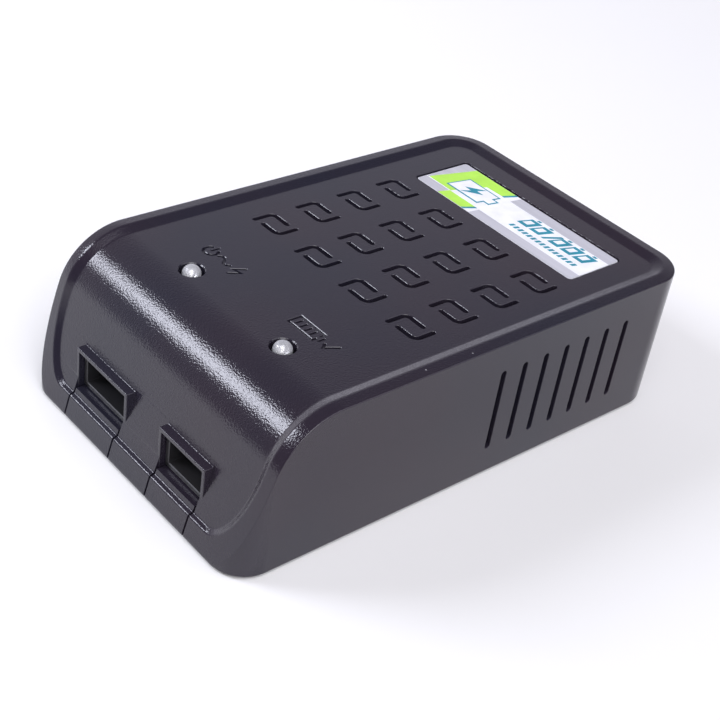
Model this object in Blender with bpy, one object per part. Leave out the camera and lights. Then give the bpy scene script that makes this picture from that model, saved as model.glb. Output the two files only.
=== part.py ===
"""Balance battery charger: a black two-piece housing with two balance sockets in its sloping
front, two indicator lamps, a vented top panel, and the mains power supply that it holds inside.

Frame: +Z up, the sockets face -Y, the side with the wall vents faces +X, and the mains inlet
faces +Y. The origin is at the middle of the resting surface, below the housing's centre.
"""
import math

import bmesh
import bpy
from mathutils import Vector

MM = 0.001
FIT = 0.3 * MM                      # clearance kept between neighbouring pieces

# Housing envelope
FOOT_STAND = 0.4 * MM               # how far the rubber feet hold the housing off the table
BOTTOM = FOOT_STAND
TOP = BOTTOM + 25.0 * MM            # crest of the rim
HALF_WIDTH = 27.8 * MM
HALF_LENGTH = 44.9 * MM
FRONT_CORNER = 5.5 * MM
BACK_CORNER = 6.8 * MM
WALL = 1.8 * MM

# Side profile of the crest: flat, then a bend, then a straight slope down to the table
BEND_START = -28.7 * MM
BEND_RADIUS = 11.6 * MM
SLOPE_ANGLE = math.radians(72)
BEND_STEPS = 8

# Rim around the sunk panel
RIM_CROWN = 0.2 * MM                # the rim's outer edge lies this far below its crest
RIM_WIDTH = 2.05 * MM
PANEL_DEPTH = 0.65 * MM
PANEL_INSET = 1.7 * MM              # width of the soft slope from the crest down to the panel
ROOF_DEPTH = PANEL_DEPTH + 1.7 * MM  # underside of the panel, below the crest
CREST_SILL = 3.2 * MM               # distance up the slope from the table to the crest
PANEL_SILL = 3.75 * MM
CREST_SWEEP = 6.5 * MM              # half width taken up by the panel's long front corners
PANEL_SWEEP = 5.45 * MM
SLOPE_TAPER = 0.7                   # share of the soft slope's width that it loses down the front
CORNER_STEPS = 6
SWEEP_STEPS = 10

# Vents in the panel: a 4 x 4 field of marks, each of two hooked slots
VENT_FIELD_CENTRE = (0.35 * MM, 5.6 * MM)
VENT_PITCH = (11.0 * MM, 8.72 * MM)
VENT_COUNT = 4
HOOK_HALF = (2.8 * MM, 1.65 * MM)   # centre line of a mark, from its middle
HOOK_TAIL = 2.4 * MM                # how far the upright arm reaches past the middle
HOOK_ARM = 1.35 * MM                # where the flat arm stops, past the middle
HOOK_CORNER = 1.1 * MM
HOOK_SLOT = 0.84 * MM

# Wall vents
WALL_VENT_COUNT = 7
WALL_VENT_FIRST = 2.65 * MM
WALL_VENT_PITCH = 4.63 * MM
WALL_VENT_Z = (BOTTOM + 4.95 * MM, BOTTOM + 19.65 * MM)
WALL_VENT_SLOT = 1.05 * MM
CLEAR = 1.0 * MM                    # how far a cutter reaches past the surface it cuts

# Lamps
LAMP_X = {"power": -11.0 * MM, "status": 11.6 * MM}
LAMP_Y = -27.0 * MM
LAMP_HOLE_RADIUS = 2.0 * MM
LAMP_RADIUS = 1.5 * MM
LAMP_FLANGE_RADIUS = 1.9 * MM
LAMP_RISE = 0.8 * MM                # the dome stands this far above the panel
LAMP_LENGTH = 5.3 * MM
LAMP_FLANGE = 1.0 * MM
SPACER_RADIUS = 2.2 * MM
SPACER_BORE = 1.3 * MM

# Label in its shallow recess
LABEL_X = (-18.05 * MM, 19.0 * MM)
LABEL_Y = (24.85 * MM, 36.8 * MM)
LABEL_THICKNESS = 0.2 * MM
LABEL_CORNER = 0.5 * MM
RECESS_DEPTH = 0.7 * MM

# Circuit board
BOARD_TOP = BOTTOM + 4.65 * MM
BOARD_THICKNESS = 1.6 * MM
BOARD_HALF_WIDTH = 25.2 * MM
BOARD_Y = (-40.4 * MM, 42.3 * MM)
BOARD_BOTTOM = BOARD_TOP - BOARD_THICKNESS
PART_FLOOR = BOARD_TOP + FIT        # underside of everything that stands on the board

# Balance sockets: pin headers with 2.5 mm pitch, named by their pin count
PIN_PITCH = 2.5 * MM
PIN_SIDE = 0.64 * MM
HEADER_END = 4.7 * MM               # header length beyond (pins - 1) pitches
HEADER_HEIGHT = 5.75 * MM
HEADER_WALL = 0.75 * MM
HEADER_DEPTH = 10.5 * MM
HEADER_CAVITY = 7.5 * MM
CONTACT_LENGTH = 4.0 * MM           # how far a contact stands out of the cavity's back
CONTACT_BEND = 0.9 * MM             # from the header's back to the contact's upright leg
KEY_SLOT = (1.2 * MM, 3.2 * MM)     # width and depth of the two slots that key the plug
KEY_INSET = 2.9 * MM                # from the header's end to the middle of a key slot
COLLAR_FRONT = -42.5 * MM
COLLAR_FLOOR = BOTTOM + 4.4 * MM
COLLAR_WALL = 0.65 * MM
HEADER_FRONT = COLLAR_FRONT + 0.9 * MM
PIN_BACK = HEADER_FRONT + HEADER_DEPTH + CONTACT_BEND
SOCKET_FIT = 0.2 * MM
SOCKETS = {4: -10.5 * MM, 3: 10.6 * MM}
PIN_ABOVE_MIDDLE = 0.3 * MM
PIN_BELOW_BOARD = 0.9 * MM
OPENING_BACK = -36.0 * MM           # how far back the openings for the headers are cut

# Lower housing
FLOOR_TOP = BOTTOM + WALL
TAB_BACK = -39.2 * MM               # the tabs below the sockets end here
TAB_ROOT = 0.4 * MM                 # how far the tabs run into the floor plate
REST_X = 23.0 * MM                  # pegs that the board rests on
REST_Y = (-14.0 * MM, 12.0 * MM)
REST_RADIUS = 1.6 * MM
REST_ROOT = 0.5 * MM
BOSS_X = 21.9 * MM
BOSS_Y = (-31.0 * MM, 37.5 * MM)
BOSS_RADIUS = 3.1 * MM
BOSS_SPLIT = 9.0 * MM               # height where the two housings' bosses meet
BOSS_DROP = 2.2 * MM                # the upper bosses end this far below the crest
SCREW_RADIUS = 1.0 * MM
SCREW_HEAD_RADIUS = 2.2 * MM
SCREW_HEAD = 1.6 * MM
SCREW_EDGE = 0.5 * MM
SCREW_SEAT = 3.6 * MM               # height of the screw heads' seats above the floor's underside
SCREW_LENGTH = 11.0 * MM
SCREW_TIP = 1.0 * MM
PILOT_TOP = TOP - 4.2 * MM          # the upper bosses' screw holes end here
CROSS_REACH = 1.1 * MM
CROSS_HALF_SLOT = 0.25 * MM
CROSS_DEPTH = 0.8 * MM
FOOT_X = 20.5 * MM
FOOT_Y = (-21.5 * MM, 27.0 * MM)
FOOT_RADIUS = 4.0 * MM
FOOT_SUNK = 0.8 * MM
FOOT_CHAMFER = 0.3 * MM

# Mains inlet: a figure-8 socket
INLET_X = 0.0
INLET_HALF = 9.4 * MM
INLET_HEIGHT = 10.4 * MM
INLET_DEPTH = 13.0 * MM
INLET_MOUTH_RADIUS = 4.0 * MM
INLET_SPREAD = 4.3 * MM             # half the distance between the two pins
INLET_MOUTH_DEPTH = 10.5 * MM
INLET_DIP = 0.9 * MM                # depth of the waist between the mouth's two rounds
INLET_FRONT = HALF_LENGTH - 0.3 * MM
INLET_CORNER = 0.8 * MM
INLET_PIN_RADIUS = 1.2 * MM
INLET_PIN = 8.0 * MM                # how far a pin stands out of the mouth's floor
INLET_PIN_TAIL = 1.5 * MM           # and out of the inlet's back

# Transformer: bobbin and winding between two E-shaped core halves
TRANSFORMER_PLACE = (9.0 * MM, 9.5 * MM)
CORE_HEIGHT = 14.6 * MM
CORE_BACK = 2.6 * MM                # thickness of a core half behind its legs
CORE_REACH = 9.4 * MM
CORE_LEG = 2.0 * MM                 # half the middle leg's side
CORE_OUTER_LEG = 2.2 * MM
BOBBIN_FLANGE = 0.9 * MM
BOBBIN_WALL = 0.8 * MM
BOBBIN_HALF = {"lower": 7.5 * MM, "upper": 6.5 * MM}
BOBBIN_OVERLAP = 0.2 * MM
WINDING_INSET = 0.5 * MM
WINDING_HALF = 6.0 * MM
WINDING_CORNER = 2.0 * MM

# Ring-core choke, lying flat
CHOKE_PLACE = (15.6 * MM, 26.2 * MM)
CHOKE_RADIUS = 4.6 * MM
CHOKE_THICK = (2.1 * MM, 2.4 * MM)  # half its width, between the turns and on them
CHOKE_TALL = 1.2                    # its height as a share of its width
CHOKE_CORNER = 1.2 * MM
CHOKE_STEPS = 24
CHOKE_MIDDLE = PART_FLOOR + 3.0 * MM

# Switching transistor and the folded heat sink beside it
SINK_X = -20.4 * MM
SINK_Y = (-0.5 * MM, 16.5 * MM)
SINK_THICKNESS = 1.5 * MM
SINK_HEIGHT = 14.0 * MM
SINK_WIDTH = 5.5 * MM
TRANSISTOR_Y = 8.0 * MM
TRANSISTOR_SIZE = (3.6 * MM, 10.0 * MM, 8.6 * MM)
TRANSISTOR_LIFT = 3.0 * MM
TRANSISTOR_LEG_PITCH = 2.54 * MM
TRANSISTOR_LEG_X = (1.4 * MM, 2.1 * MM)
TRANSISTOR_LEG_HALF = 0.5 * MM
LEG_OVERLAP = 0.5 * MM              # how far a leg runs into its part's body

# Flat circuits with gull-wing legs
CHIP_LIFT = 0.4 * MM
CHIP_LEG_PITCH = 1.27 * MM
CHIP_LEG_HALF = 0.22 * MM
CHIP_LEG_REACH = 1.0 * MM
CHIP_LEG_HEIGHT = 0.85 * MM

# Insulation sheet between the mains half and the low-voltage half of the board
BARRIER_HALF = 24.5 * MM
BARRIER_Y = (-2.9 * MM, -2.5 * MM)
BARRIER_TOP = BOTTOM + 21.5 * MM

# The other parts on the board: place, then radius and height, or size and number of legs
CANS = {
    "mains_capacitor": ((-6.5 * MM, 21.5 * MM), 5.0 * MM, 16.0 * MM),
    "output_capacitor_1": ((1.5 * MM, -10.5 * MM), 4.0 * MM, 11.5 * MM),
    "output_capacitor_2": ((11.0 * MM, -10.5 * MM), 4.0 * MM, 11.5 * MM),
}
CAN_EDGE = 0.5 * MM
CAN_GROOVE = 1.7 * MM               # height of the rolled groove above the can's base
BLOCKS = {
    "mains_fuse": ((-17.0 * MM, 27.5 * MM), (8.4 * MM, 4.0 * MM, 7.7 * MM)),
    "bridge_rectifier": ((-16.5 * MM, 21.0 * MM), (8.3 * MM, 6.4 * MM, 3.4 * MM)),
    "safety_capacitor": ((-5.5 * MM, 2.5 * MM), (7.0 * MM, 3.2 * MM, 7.5 * MM)),
    "optocoupler": ((-5.5 * MM, 9.5 * MM), (6.5 * MM, 4.6 * MM, 3.5 * MM)),
}
BLOCK_CHAMFER = 0.15 * MM
CHIPS = {
    "charge_controller": ((-12.5 * MM, -12.0 * MM), (7.5 * MM, 12.8 * MM, 2.3 * MM), 9),
    "voltage_regulator": ((20.0 * MM, -12.0 * MM), (3.9 * MM, 4.9 * MM, 1.5 * MM), 3),
}
RESISTOR_COUNT = 3
RESISTOR_FIRST = (-6.0 * MM, -22.0 * MM)
RESISTOR_PITCH = 7.4 * MM
RESISTOR_SIZE = (6.4 * MM, 3.2 * MM, 0.6 * MM)


# ---------------------------------------------------------------- materials and mesh helpers

def material(name, colour, roughness, metallic=0.0):
    mat = bpy.data.materials.get(name) or bpy.data.materials.new(name)
    mat.use_nodes = True
    shader = mat.node_tree.nodes["Principled BSDF"]
    shader.inputs["Base Color"].default_value = (*colour, 1.0)
    shader.inputs["Roughness"].default_value = roughness
    shader.inputs["Metallic"].default_value = metallic
    mat.diffuse_color = (*colour, 1.0)
    return mat


def add_object(name, bm, mat=None, smooth=0.0):
    """Turn a bmesh into an object; smooth is the largest angle, in degrees, shaded as round."""
    bmesh.ops.recalc_face_normals(bm, faces=bm.faces)
    mesh = bpy.data.meshes.new(name)
    bm.to_mesh(mesh)
    bm.free()
    if smooth:
        mesh.shade_smooth()
        mesh.set_sharp_from_angle(angle=math.radians(smooth))
    obj = bpy.data.objects.new(name, mesh)
    bpy.context.collection.objects.link(obj)
    if mat:
        mesh.materials.append(mat)
    return obj


def add_tool(name, bm):
    """A shape that only cuts or joins, and isn't part of the object."""
    tool = add_object(name, bm)
    tool.hide_render = True
    tool.display_type = "WIRE"
    return tool


def boolean(obj, tool, operation="DIFFERENCE"):
    mod = obj.modifiers.new(f"{operation.lower()} {tool.name}", "BOOLEAN")
    mod.operation = operation
    mod.solver = "EXACT"
    mod.object = tool


def add_box(bm, x, y, z):
    corners = [bm.verts.new((px, py, pz)) for pz in z for py in y for px in x]
    quads = ((0, 2, 3, 1), (4, 5, 7, 6), (0, 1, 5, 4), (2, 6, 7, 3), (0, 4, 6, 2), (1, 3, 7, 5))
    for quad in quads:
        bm.faces.new([corners[i] for i in quad])


def add_prism(bm, outline, start, end, axes="xyz"):
    """Extrude a 2-D outline from start to end along the last of the three axes."""
    first, second, along = ("xyz".index(axis) for axis in axes)
    rings = []
    for level in (start, end):
        ring = []
        for u, v in outline:
            place = Vector((0, 0, 0))
            place[first] = u
            place[second] = v
            place[along] = level
            ring.append(bm.verts.new(place))
        rings.append(ring)
    bm.faces.new(rings[0])
    bm.faces.new(rings[1][::-1])
    count = len(outline)
    for i in range(count):
        j = (i + 1) % count
        bm.faces.new((rings[0][i], rings[0][j], rings[1][j], rings[1][i]))


def arc(centre, radius, start, end, steps):
    """Points on an arc, with both of its ends; the angles are in degrees."""
    points = []
    for i in range(steps + 1):
        angle = math.radians(start + (end - start) * i / steps)
        points.append((centre[0] + radius * math.cos(angle), centre[1] + radius * math.sin(angle)))
    return points


def circle(centre, radius, steps):
    return arc(centre, radius, 0, 360 * (steps - 1) / steps, steps - 1)


def rounded_box_outline(x, y, radius, steps=3):
    corners = ((x[1], y[1], 0), (x[0], y[1], 90), (x[0], y[0], 180), (x[1], y[0], 270))
    points = []
    for cx, cy, start in corners:
        inward = Vector((math.cos(math.radians(start + 45)), math.sin(math.radians(start + 45))))
        centre = Vector((cx, cy)) - inward * radius * math.sqrt(2)
        points += arc(centre, radius, start, start + 90, steps)
    return points


def slot_outline(x, y, steps=3):
    """A slot with round ends, longer in y than in x."""
    radius = (x[1] - x[0]) / 2
    middle = (x[0] + x[1]) / 2
    upper = arc((middle, y[1] - radius), radius, 0, 180, steps)
    lower = arc((middle, y[0] + radius), radius, 180, 360, steps)
    return upper + lower


def add_turned(bm, centre, profile, steps=20):
    """Turn (radius, z) pairs, from the bottom axis point to the top one, about a vertical axis."""
    rings = []
    for radius, z in profile:
        if radius == 0:
            rings.append([bm.verts.new((centre[0], centre[1], z))])
            continue
        ring = [bm.verts.new((px, py, z)) for px, py in circle(centre, radius, steps)]
        rings.append(ring)
    for low, high in zip(rings, rings[1:]):
        for i in range(steps):
            j = (i + 1) % steps
            below = [low[i % len(low)], low[j % len(low)]]
            above = [high[j % len(high)], high[i % len(high)]]
            bm.faces.new(list(dict.fromkeys(below + above)))


# ---------------------------------------------------------------- housing surface

def profile_point(travel, depth):
    """(y, z) on the side profile, depth below the crest.

    travel is ("flat", y), ("bend", angle) or ("slope", distance below the bend's end).
    """
    kind, value = travel
    centre_z = TOP - BEND_RADIUS
    radius = BEND_RADIUS - depth
    if kind == "flat":
        return value, TOP - depth
    angle = value if kind == "bend" else SLOPE_ANGLE
    y = BEND_START - radius * math.sin(angle)
    z = centre_z + radius * math.cos(angle)
    if kind == "slope":
        y -= value * math.cos(SLOPE_ANGLE)
        z -= value * math.sin(SLOPE_ANGLE)
    return y, z


def roof_height(y, depth):
    """Height of the profile at y."""
    if y >= BEND_START:
        return TOP - depth
    radius = BEND_RADIUS - depth
    end_y, end_z = profile_point(("slope", 0.0), depth)
    if y >= end_y:
        return TOP - BEND_RADIUS + math.sqrt(radius ** 2 - (y - BEND_START) ** 2)
    return end_z - (end_y - y) * math.tan(SLOPE_ANGLE)


def slope_y(z, depth):
    """Where the sloping front stands at height z."""
    end_y, end_z = profile_point(("slope", 0.0), depth)
    return end_y - (end_z - z) / math.tan(SLOPE_ANGLE)


SLOPE_LENGTH = (HALF_LENGTH + profile_point(("slope", 0.0), RIM_CROWN)[0]) / math.cos(SLOPE_ANGLE)


def bend_travels():
    return [("bend", SLOPE_ANGLE * i / BEND_STEPS) for i in range(BEND_STEPS + 1)]


def edge_half():
    """Right half of the rim's outer edge, back to front, as 3-D points."""
    points = []
    centre = (HALF_WIDTH - BACK_CORNER, HALF_LENGTH - BACK_CORNER)
    for x, y in arc(centre, BACK_CORNER, 90, 0, CORNER_STEPS):
        points.append((x, y, TOP - RIM_CROWN))
    for travel in bend_travels():
        points.append((HALF_WIDTH, *profile_point(travel, RIM_CROWN)))
    centre = (HALF_WIDTH - FRONT_CORNER, -HALF_LENGTH + FRONT_CORNER)
    for x, y in arc(centre, FRONT_CORNER, 0, -90, SWEEP_STEPS)[1:]:
        points.append((x, y, roof_height(y, RIM_CROWN)))
    return points


def loop_half(inset, depth, sill, sweep):
    """Right half of a line that runs inside the rim's edge, back to front, as 3-D points.

    The part of the inset beyond the rim shrinks down the bend and on down the slope.
    """
    points = []
    half_width = HALF_WIDTH - inset
    radius = BACK_CORNER - inset
    gain = SLOPE_TAPER * max(0.0, inset - RIM_WIDTH)
    for x, y in arc((half_width - radius, HALF_LENGTH - BACK_CORNER), radius, 90, 0, CORNER_STEPS):
        points.append((x, y, TOP - depth))
    for i, travel in enumerate(bend_travels()):
        widened = half_width + gain * i / BEND_STEPS / 2
        points.append((widened, *profile_point(travel, depth)))
    drop = SLOPE_LENGTH - sill
    for i in range(1, SWEEP_STEPS + 1):
        angle = math.pi / 2 * i / SWEEP_STEPS
        widened = half_width + gain * (1 + i / SWEEP_STEPS) / 2
        x = widened - (sweep + gain) * (1 - math.cos(angle))
        points.append((x, *profile_point(("slope", drop * math.sin(angle)), depth)))
    return points


def add_housing_skin(bm):
    """The housing's outer shape as one solid: walls, crowned rim, soft slope and sunk panel."""
    loops = (edge_half(),
             loop_half(RIM_WIDTH, 0.0, CREST_SILL, CREST_SWEEP),
             loop_half(RIM_WIDTH + PANEL_INSET, PANEL_DEPTH, PANEL_SILL, PANEL_SWEEP))
    rings = [[(x, y, BOTTOM) for x, y, _ in loops[0]], *loops]
    built = []
    for half in rings:
        right = [bm.verts.new(point) for point in half]
        left = [bm.verts.new((-x, y, z)) for x, y, z in half]
        built.append((right, left))
    last = len(built[0][0]) - 1
    for (right_a, left_a), (right_b, left_b) in zip(built, built[1:]):
        for i in range(last):
            bm.faces.new((right_a[i], right_a[i + 1], right_b[i + 1], right_b[i]))
            bm.faces.new((left_a[i + 1], left_a[i], left_b[i], left_b[i + 1]))
        bm.faces.new((left_a[0], right_a[0], right_b[0], left_b[0]))
        bm.faces.new((right_a[last], left_a[last], left_b[last], right_b[last]))
    right, left = built[-1]
    for i in range(last):
        bm.faces.new((right[i], right[i + 1], left[i + 1], left[i]))
    right, left = built[0]
    bm.faces.new(right + left[::-1])


def half_width_at(y, half_width, front, back, front_corner, back_corner):
    """Half width of a rounded rectangle at y."""
    corner, past = back_corner, y - (back - back_corner)
    if past < 0:
        corner, past = front_corner, front + front_corner - y
    if past < 0:
        return half_width
    return half_width - corner + math.sqrt(max(0, corner ** 2 - past ** 2))


def add_roofed_prism(bm, inset, depth, bottom, front=None, ceiling=None):
    """A solid inside the housing: upright walls, and a roof that follows the side profile.

    ceiling, where given, replaces the profile roof by a flat one.
    """
    half_width = HALF_WIDTH - inset
    back = HALF_LENGTH - inset
    if front is None:
        front = slope_y(bottom + 0.1 * MM, depth)
    corners = (FRONT_CORNER - inset, BACK_CORNER - inset)
    stations = [y for _, y in arc((0, back - corners[1]), corners[1], 90, 0, CORNER_STEPS)]
    if ceiling is None:
        stations += [profile_point(travel, depth)[0] for travel in bend_travels()]
    stations += [y for _, y in arc((0, front + corners[0]), corners[0], 0, -90, CORNER_STEPS)]
    stations = sorted(set(stations), reverse=True)
    columns = []
    for y in stations:
        x = half_width_at(y, half_width, front, back, *corners)
        top = roof_height(y, depth) if ceiling is None else ceiling
        section = ((x, bottom), (x, top), (-x, top), (-x, bottom))
        columns.append([bm.verts.new((px, y, pz)) for px, pz in section])
    for near, far in zip(columns, columns[1:]):
        for i in range(4):
            j = (i + 1) % 4
            bm.faces.new((near[i], near[j], far[j], far[i]))
    bm.faces.new(columns[0])
    bm.faces.new(columns[-1][::-1])


def hook_outline():
    """One hooked slot of a vent mark, about the mark's middle."""
    half_x, half_y = HOOK_HALF
    half_slot = HOOK_SLOT / 2
    centre = (-half_x + HOOK_CORNER, half_y - HOOK_CORNER)
    outer = arc(centre, HOOK_CORNER + half_slot, 180, 90, 4)
    inner = arc(centre, HOOK_CORNER - half_slot, 90, 180, 3)
    tail = [(-half_x - half_slot, -HOOK_TAIL)]
    arm = [(HOOK_ARM, half_y + half_slot), (HOOK_ARM, half_y - half_slot)]
    heel = [(-half_x + half_slot, -HOOK_TAIL)]
    return tail + outer + arm + inner + heel


def boss_places():
    return [(sx * BOSS_X, y) for sx in (-1, 1) for y in BOSS_Y]


def header_half(pins):
    return ((pins - 1) * PIN_PITCH + HEADER_END) / 2


# ---------------------------------------------------------------- housings

def make_upper_housing(plastic):
    bm = bmesh.new()
    add_housing_skin(bm)
    shell = add_object("upper_housing", bm, plastic, smooth=20)

    bm = bmesh.new()
    add_roofed_prism(bm, WALL, ROOF_DEPTH, BOTTOM - CLEAR)
    boolean(shell, add_tool("housing_cavity", bm))

    bm = bmesh.new()
    collar_top = PART_FLOOR + HEADER_HEIGHT + SOCKET_FIT + COLLAR_WALL
    for pins, x in SOCKETS.items():
        half = header_half(pins) + SOCKET_FIT + COLLAR_WALL
        add_box(bm, (x - half, x + half), (COLLAR_FRONT, BOARD_Y[0] - FIT), (COLLAR_FLOOR, collar_top))
    for place in boss_places():
        add_prism(bm, circle(place, BOSS_RADIUS, 16), BOSS_SPLIT, TOP - BOSS_DROP)
    boolean(shell, add_tool("collars_and_bosses", bm), "UNION")

    boolean(shell, add_tool("housing_cuts", housing_cuts()))


def housing_cuts():
    """Everything cut through the upper housing: vents, lamps, label, sockets, inlet, screws."""
    bm = bmesh.new()
    first = [VENT_FIELD_CENTRE[i] - VENT_PITCH[i] * (VENT_COUNT - 1) / 2 for i in (0, 1)]
    for column in range(VENT_COUNT):
        for row in range(VENT_COUNT):
            cx = first[0] + column * VENT_PITCH[0]
            cy = first[1] + row * VENT_PITCH[1]
            for turn in (1, -1):
                outline = [(cx + turn * x, cy + turn * y) for x, y in hook_outline()]
                add_prism(bm, outline, TOP - ROOF_DEPTH - CLEAR, TOP + CLEAR)
    for i in range(WALL_VENT_COUNT):
        y = WALL_VENT_FIRST + i * WALL_VENT_PITCH
        outline = slot_outline((y - WALL_VENT_SLOT / 2, y + WALL_VENT_SLOT / 2), WALL_VENT_Z)
        for side in (-1, 1):
            add_prism(bm, outline, side * (HALF_WIDTH - WALL - CLEAR), side * (HALF_WIDTH + CLEAR), "yzx")
    for x in LAMP_X.values():
        hole = circle((x, LAMP_Y), LAMP_HOLE_RADIUS, 20)
        add_prism(bm, hole, TOP - ROOF_DEPTH - 2 * CLEAR, TOP + CLEAR)
    recess = rounded_box_outline((LABEL_X[0] - FIT, LABEL_X[1] + FIT),
                                 (LABEL_Y[0] - FIT, LABEL_Y[1] + FIT), LABEL_CORNER + FIT)
    add_prism(bm, recess, TOP - PANEL_DEPTH - RECESS_DEPTH, TOP + CLEAR)
    for pins, x in SOCKETS.items():
        half = header_half(pins) + SOCKET_FIT
        ceiling = PART_FLOOR + HEADER_HEIGHT + SOCKET_FIT
        add_box(bm, (x - half, x + half), (-HALF_LENGTH - CLEAR, OPENING_BACK), (BOTTOM - CLEAR, ceiling))
    add_box(bm, (INLET_X - INLET_HALF - FIT, INLET_X + INLET_HALF + FIT),
            (HALF_LENGTH - WALL - CLEAR, HALF_LENGTH + CLEAR),
            (PART_FLOOR - FIT, PART_FLOOR + INLET_HEIGHT + FIT))
    for place in boss_places():
        add_prism(bm, circle(place, SCREW_RADIUS + FIT, 12), BOSS_SPLIT - CLEAR, PILOT_TOP)
    return bm


def make_lower_housing(plastic):
    """Floor plate inside the skirt, with posts, board rests and the two tabs below the sockets."""
    bm = bmesh.new()
    front = slope_y(FLOOR_TOP, ROOF_DEPTH) + FIT
    add_roofed_prism(bm, WALL + FIT, 0.0, BOTTOM, front=front, ceiling=FLOOR_TOP)
    plate = add_object("lower_housing", bm, plastic, smooth=20)

    bm = bmesh.new()
    add_housing_skin(bm)
    tabs = add_tool("socket_tabs", bm)
    bm = bmesh.new()
    for pins, x in SOCKETS.items():
        half = header_half(pins) + SOCKET_FIT - FIT
        add_box(bm, (x - half, x + half), (-HALF_LENGTH - CLEAR, TAB_BACK), (BOTTOM - CLEAR, BOARD_TOP))
    boolean(tabs, add_tool("tab_blocks", bm), "INTERSECT")
    bm = bmesh.new()
    add_roofed_prism(bm, WALL, ROOF_DEPTH, FLOOR_TOP - TAB_ROOT)
    boolean(tabs, add_tool("tab_backs", bm))
    boolean(plate, tabs, "UNION")

    bm = bmesh.new()
    for place in boss_places():
        add_prism(bm, circle(place, BOSS_RADIUS, 16), FLOOR_TOP - REST_ROOT, BOSS_SPLIT - FIT)
    for sx in (-1, 1):
        for y in REST_Y:
            peg = circle((sx * REST_X, y), REST_RADIUS, 10)
            add_prism(bm, peg, FLOOR_TOP - REST_ROOT, BOARD_BOTTOM - FIT)
    boolean(plate, add_tool("posts_and_rests", bm), "UNION")

    bm = bmesh.new()
    head = SCREW_HEAD_RADIUS + FIT
    shank = SCREW_RADIUS + FIT
    seat = BOTTOM + SCREW_SEAT
    profile = ((0, BOTTOM - CLEAR), (head, BOTTOM - CLEAR), (head, seat), (shank, seat),
               (shank, BOSS_SPLIT + CLEAR), (0, BOSS_SPLIT + CLEAR))
    for place in boss_places():
        add_turned(bm, place, profile, 16)
    boolean(plate, add_tool("screw_holes", bm))
    bm = bmesh.new()
    for sx in (-1, 1):
        for y in FOOT_Y:
            well = circle((sx * FOOT_X, y), FOOT_RADIUS + FIT, 20)
            add_prism(bm, well, BOTTOM - CLEAR, BOTTOM + FOOT_SUNK)
    boolean(plate, add_tool("foot_seats", bm))


def cross_outline(centre, reach, half_slot):
    points = []
    for turn in range(4):
        cos, sin = ((1, 0), (0, 1), (-1, 0), (0, -1))[turn]
        for u, v in ((reach, -half_slot), (reach, half_slot), (half_slot, half_slot)):
            points.append((centre[0] + u * cos - v * sin, centre[1] + u * sin + v * cos))
    return points


def make_feet(rubber):
    for side, sx in (("left", -1), ("right", 1)):
        for end, y in zip(("front", "back"), FOOT_Y):
            bm = bmesh.new()
            top = BOTTOM + FOOT_SUNK - FIT
            profile = ((0, 0), (FOOT_RADIUS - FOOT_CHAMFER, 0), (FOOT_RADIUS, FOOT_CHAMFER),
                       (FOOT_RADIUS, top), (0, top))
            add_turned(bm, (sx * FOOT_X, y), profile, 20)
            add_object(f"foot_{end}_{side}", bm, rubber, smooth=30)


def make_screws(steel):
    """Pan-head screws with a cross recess, heads down in the lower housing's posts."""
    for side, sx in (("left", -1), ("right", 1)):
        for end, y in zip(("front", "back"), BOSS_Y):
            x = sx * BOSS_X
            seat = BOTTOM + SCREW_SEAT - FIT
            head = seat - SCREW_HEAD
            bm = bmesh.new()
            profile = ((0, head), (SCREW_HEAD_RADIUS - SCREW_EDGE, head),
                       (SCREW_HEAD_RADIUS, head + SCREW_EDGE), (SCREW_HEAD_RADIUS, seat),
                       (SCREW_RADIUS, seat), (SCREW_RADIUS, seat + SCREW_LENGTH - SCREW_TIP),
                       (0, seat + SCREW_LENGTH))
            add_turned(bm, (x, y), profile, 12)
            screw = add_object(f"screw_{end}_{side}", bm, steel, smooth=30)
            bm = bmesh.new()
            cross = cross_outline((x, y), CROSS_REACH, CROSS_HALF_SLOT)
            add_prism(bm, cross, head - CLEAR, head + CROSS_DEPTH)
            boolean(screw, add_tool(f"cross_{end}_{side}", bm))


def make_label(film):
    bm = bmesh.new()
    base = TOP - PANEL_DEPTH - RECESS_DEPTH + FIT
    add_prism(bm, rounded_box_outline(LABEL_X, LABEL_Y, LABEL_CORNER), base, base + LABEL_THICKNESS)
    add_object("label", bm, film)


# ---------------------------------------------------------------- lamps and sockets

def make_lamps(epoxy, holder):
    dome_top = TOP - PANEL_DEPTH + LAMP_RISE
    base = dome_top - LAMP_LENGTH
    dome = arc((0, dome_top - LAMP_RADIUS), LAMP_RADIUS, 0, 90, 6)
    for name, x in LAMP_X.items():
        bm = bmesh.new()
        profile = [(0, base), (LAMP_FLANGE_RADIUS, base), (LAMP_FLANGE_RADIUS, base + LAMP_FLANGE),
                   (LAMP_RADIUS, base + LAMP_FLANGE), *dome[:-1], (0, dome_top)]
        add_turned(bm, (x, LAMP_Y), profile, 20)
        add_object(f"{name}_lamp", bm, epoxy, smooth=40)
        bm = bmesh.new()
        add_prism(bm, circle((x, LAMP_Y), SPACER_RADIUS, 16), PART_FLOOR, base - FIT)
        spacer = add_object(f"{name}_lamp_spacer", bm, holder, smooth=40)
        bm = bmesh.new()
        add_prism(bm, circle((x, LAMP_Y), SPACER_BORE, 12), PART_FLOOR - CLEAR, base + CLEAR)
        boolean(spacer, add_tool(f"{name}_spacer_bore", bm))


def pin_places(pins):
    x = SOCKETS[pins]
    return [x + (i - (pins - 1) / 2) * PIN_PITCH for i in range(pins)]


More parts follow.
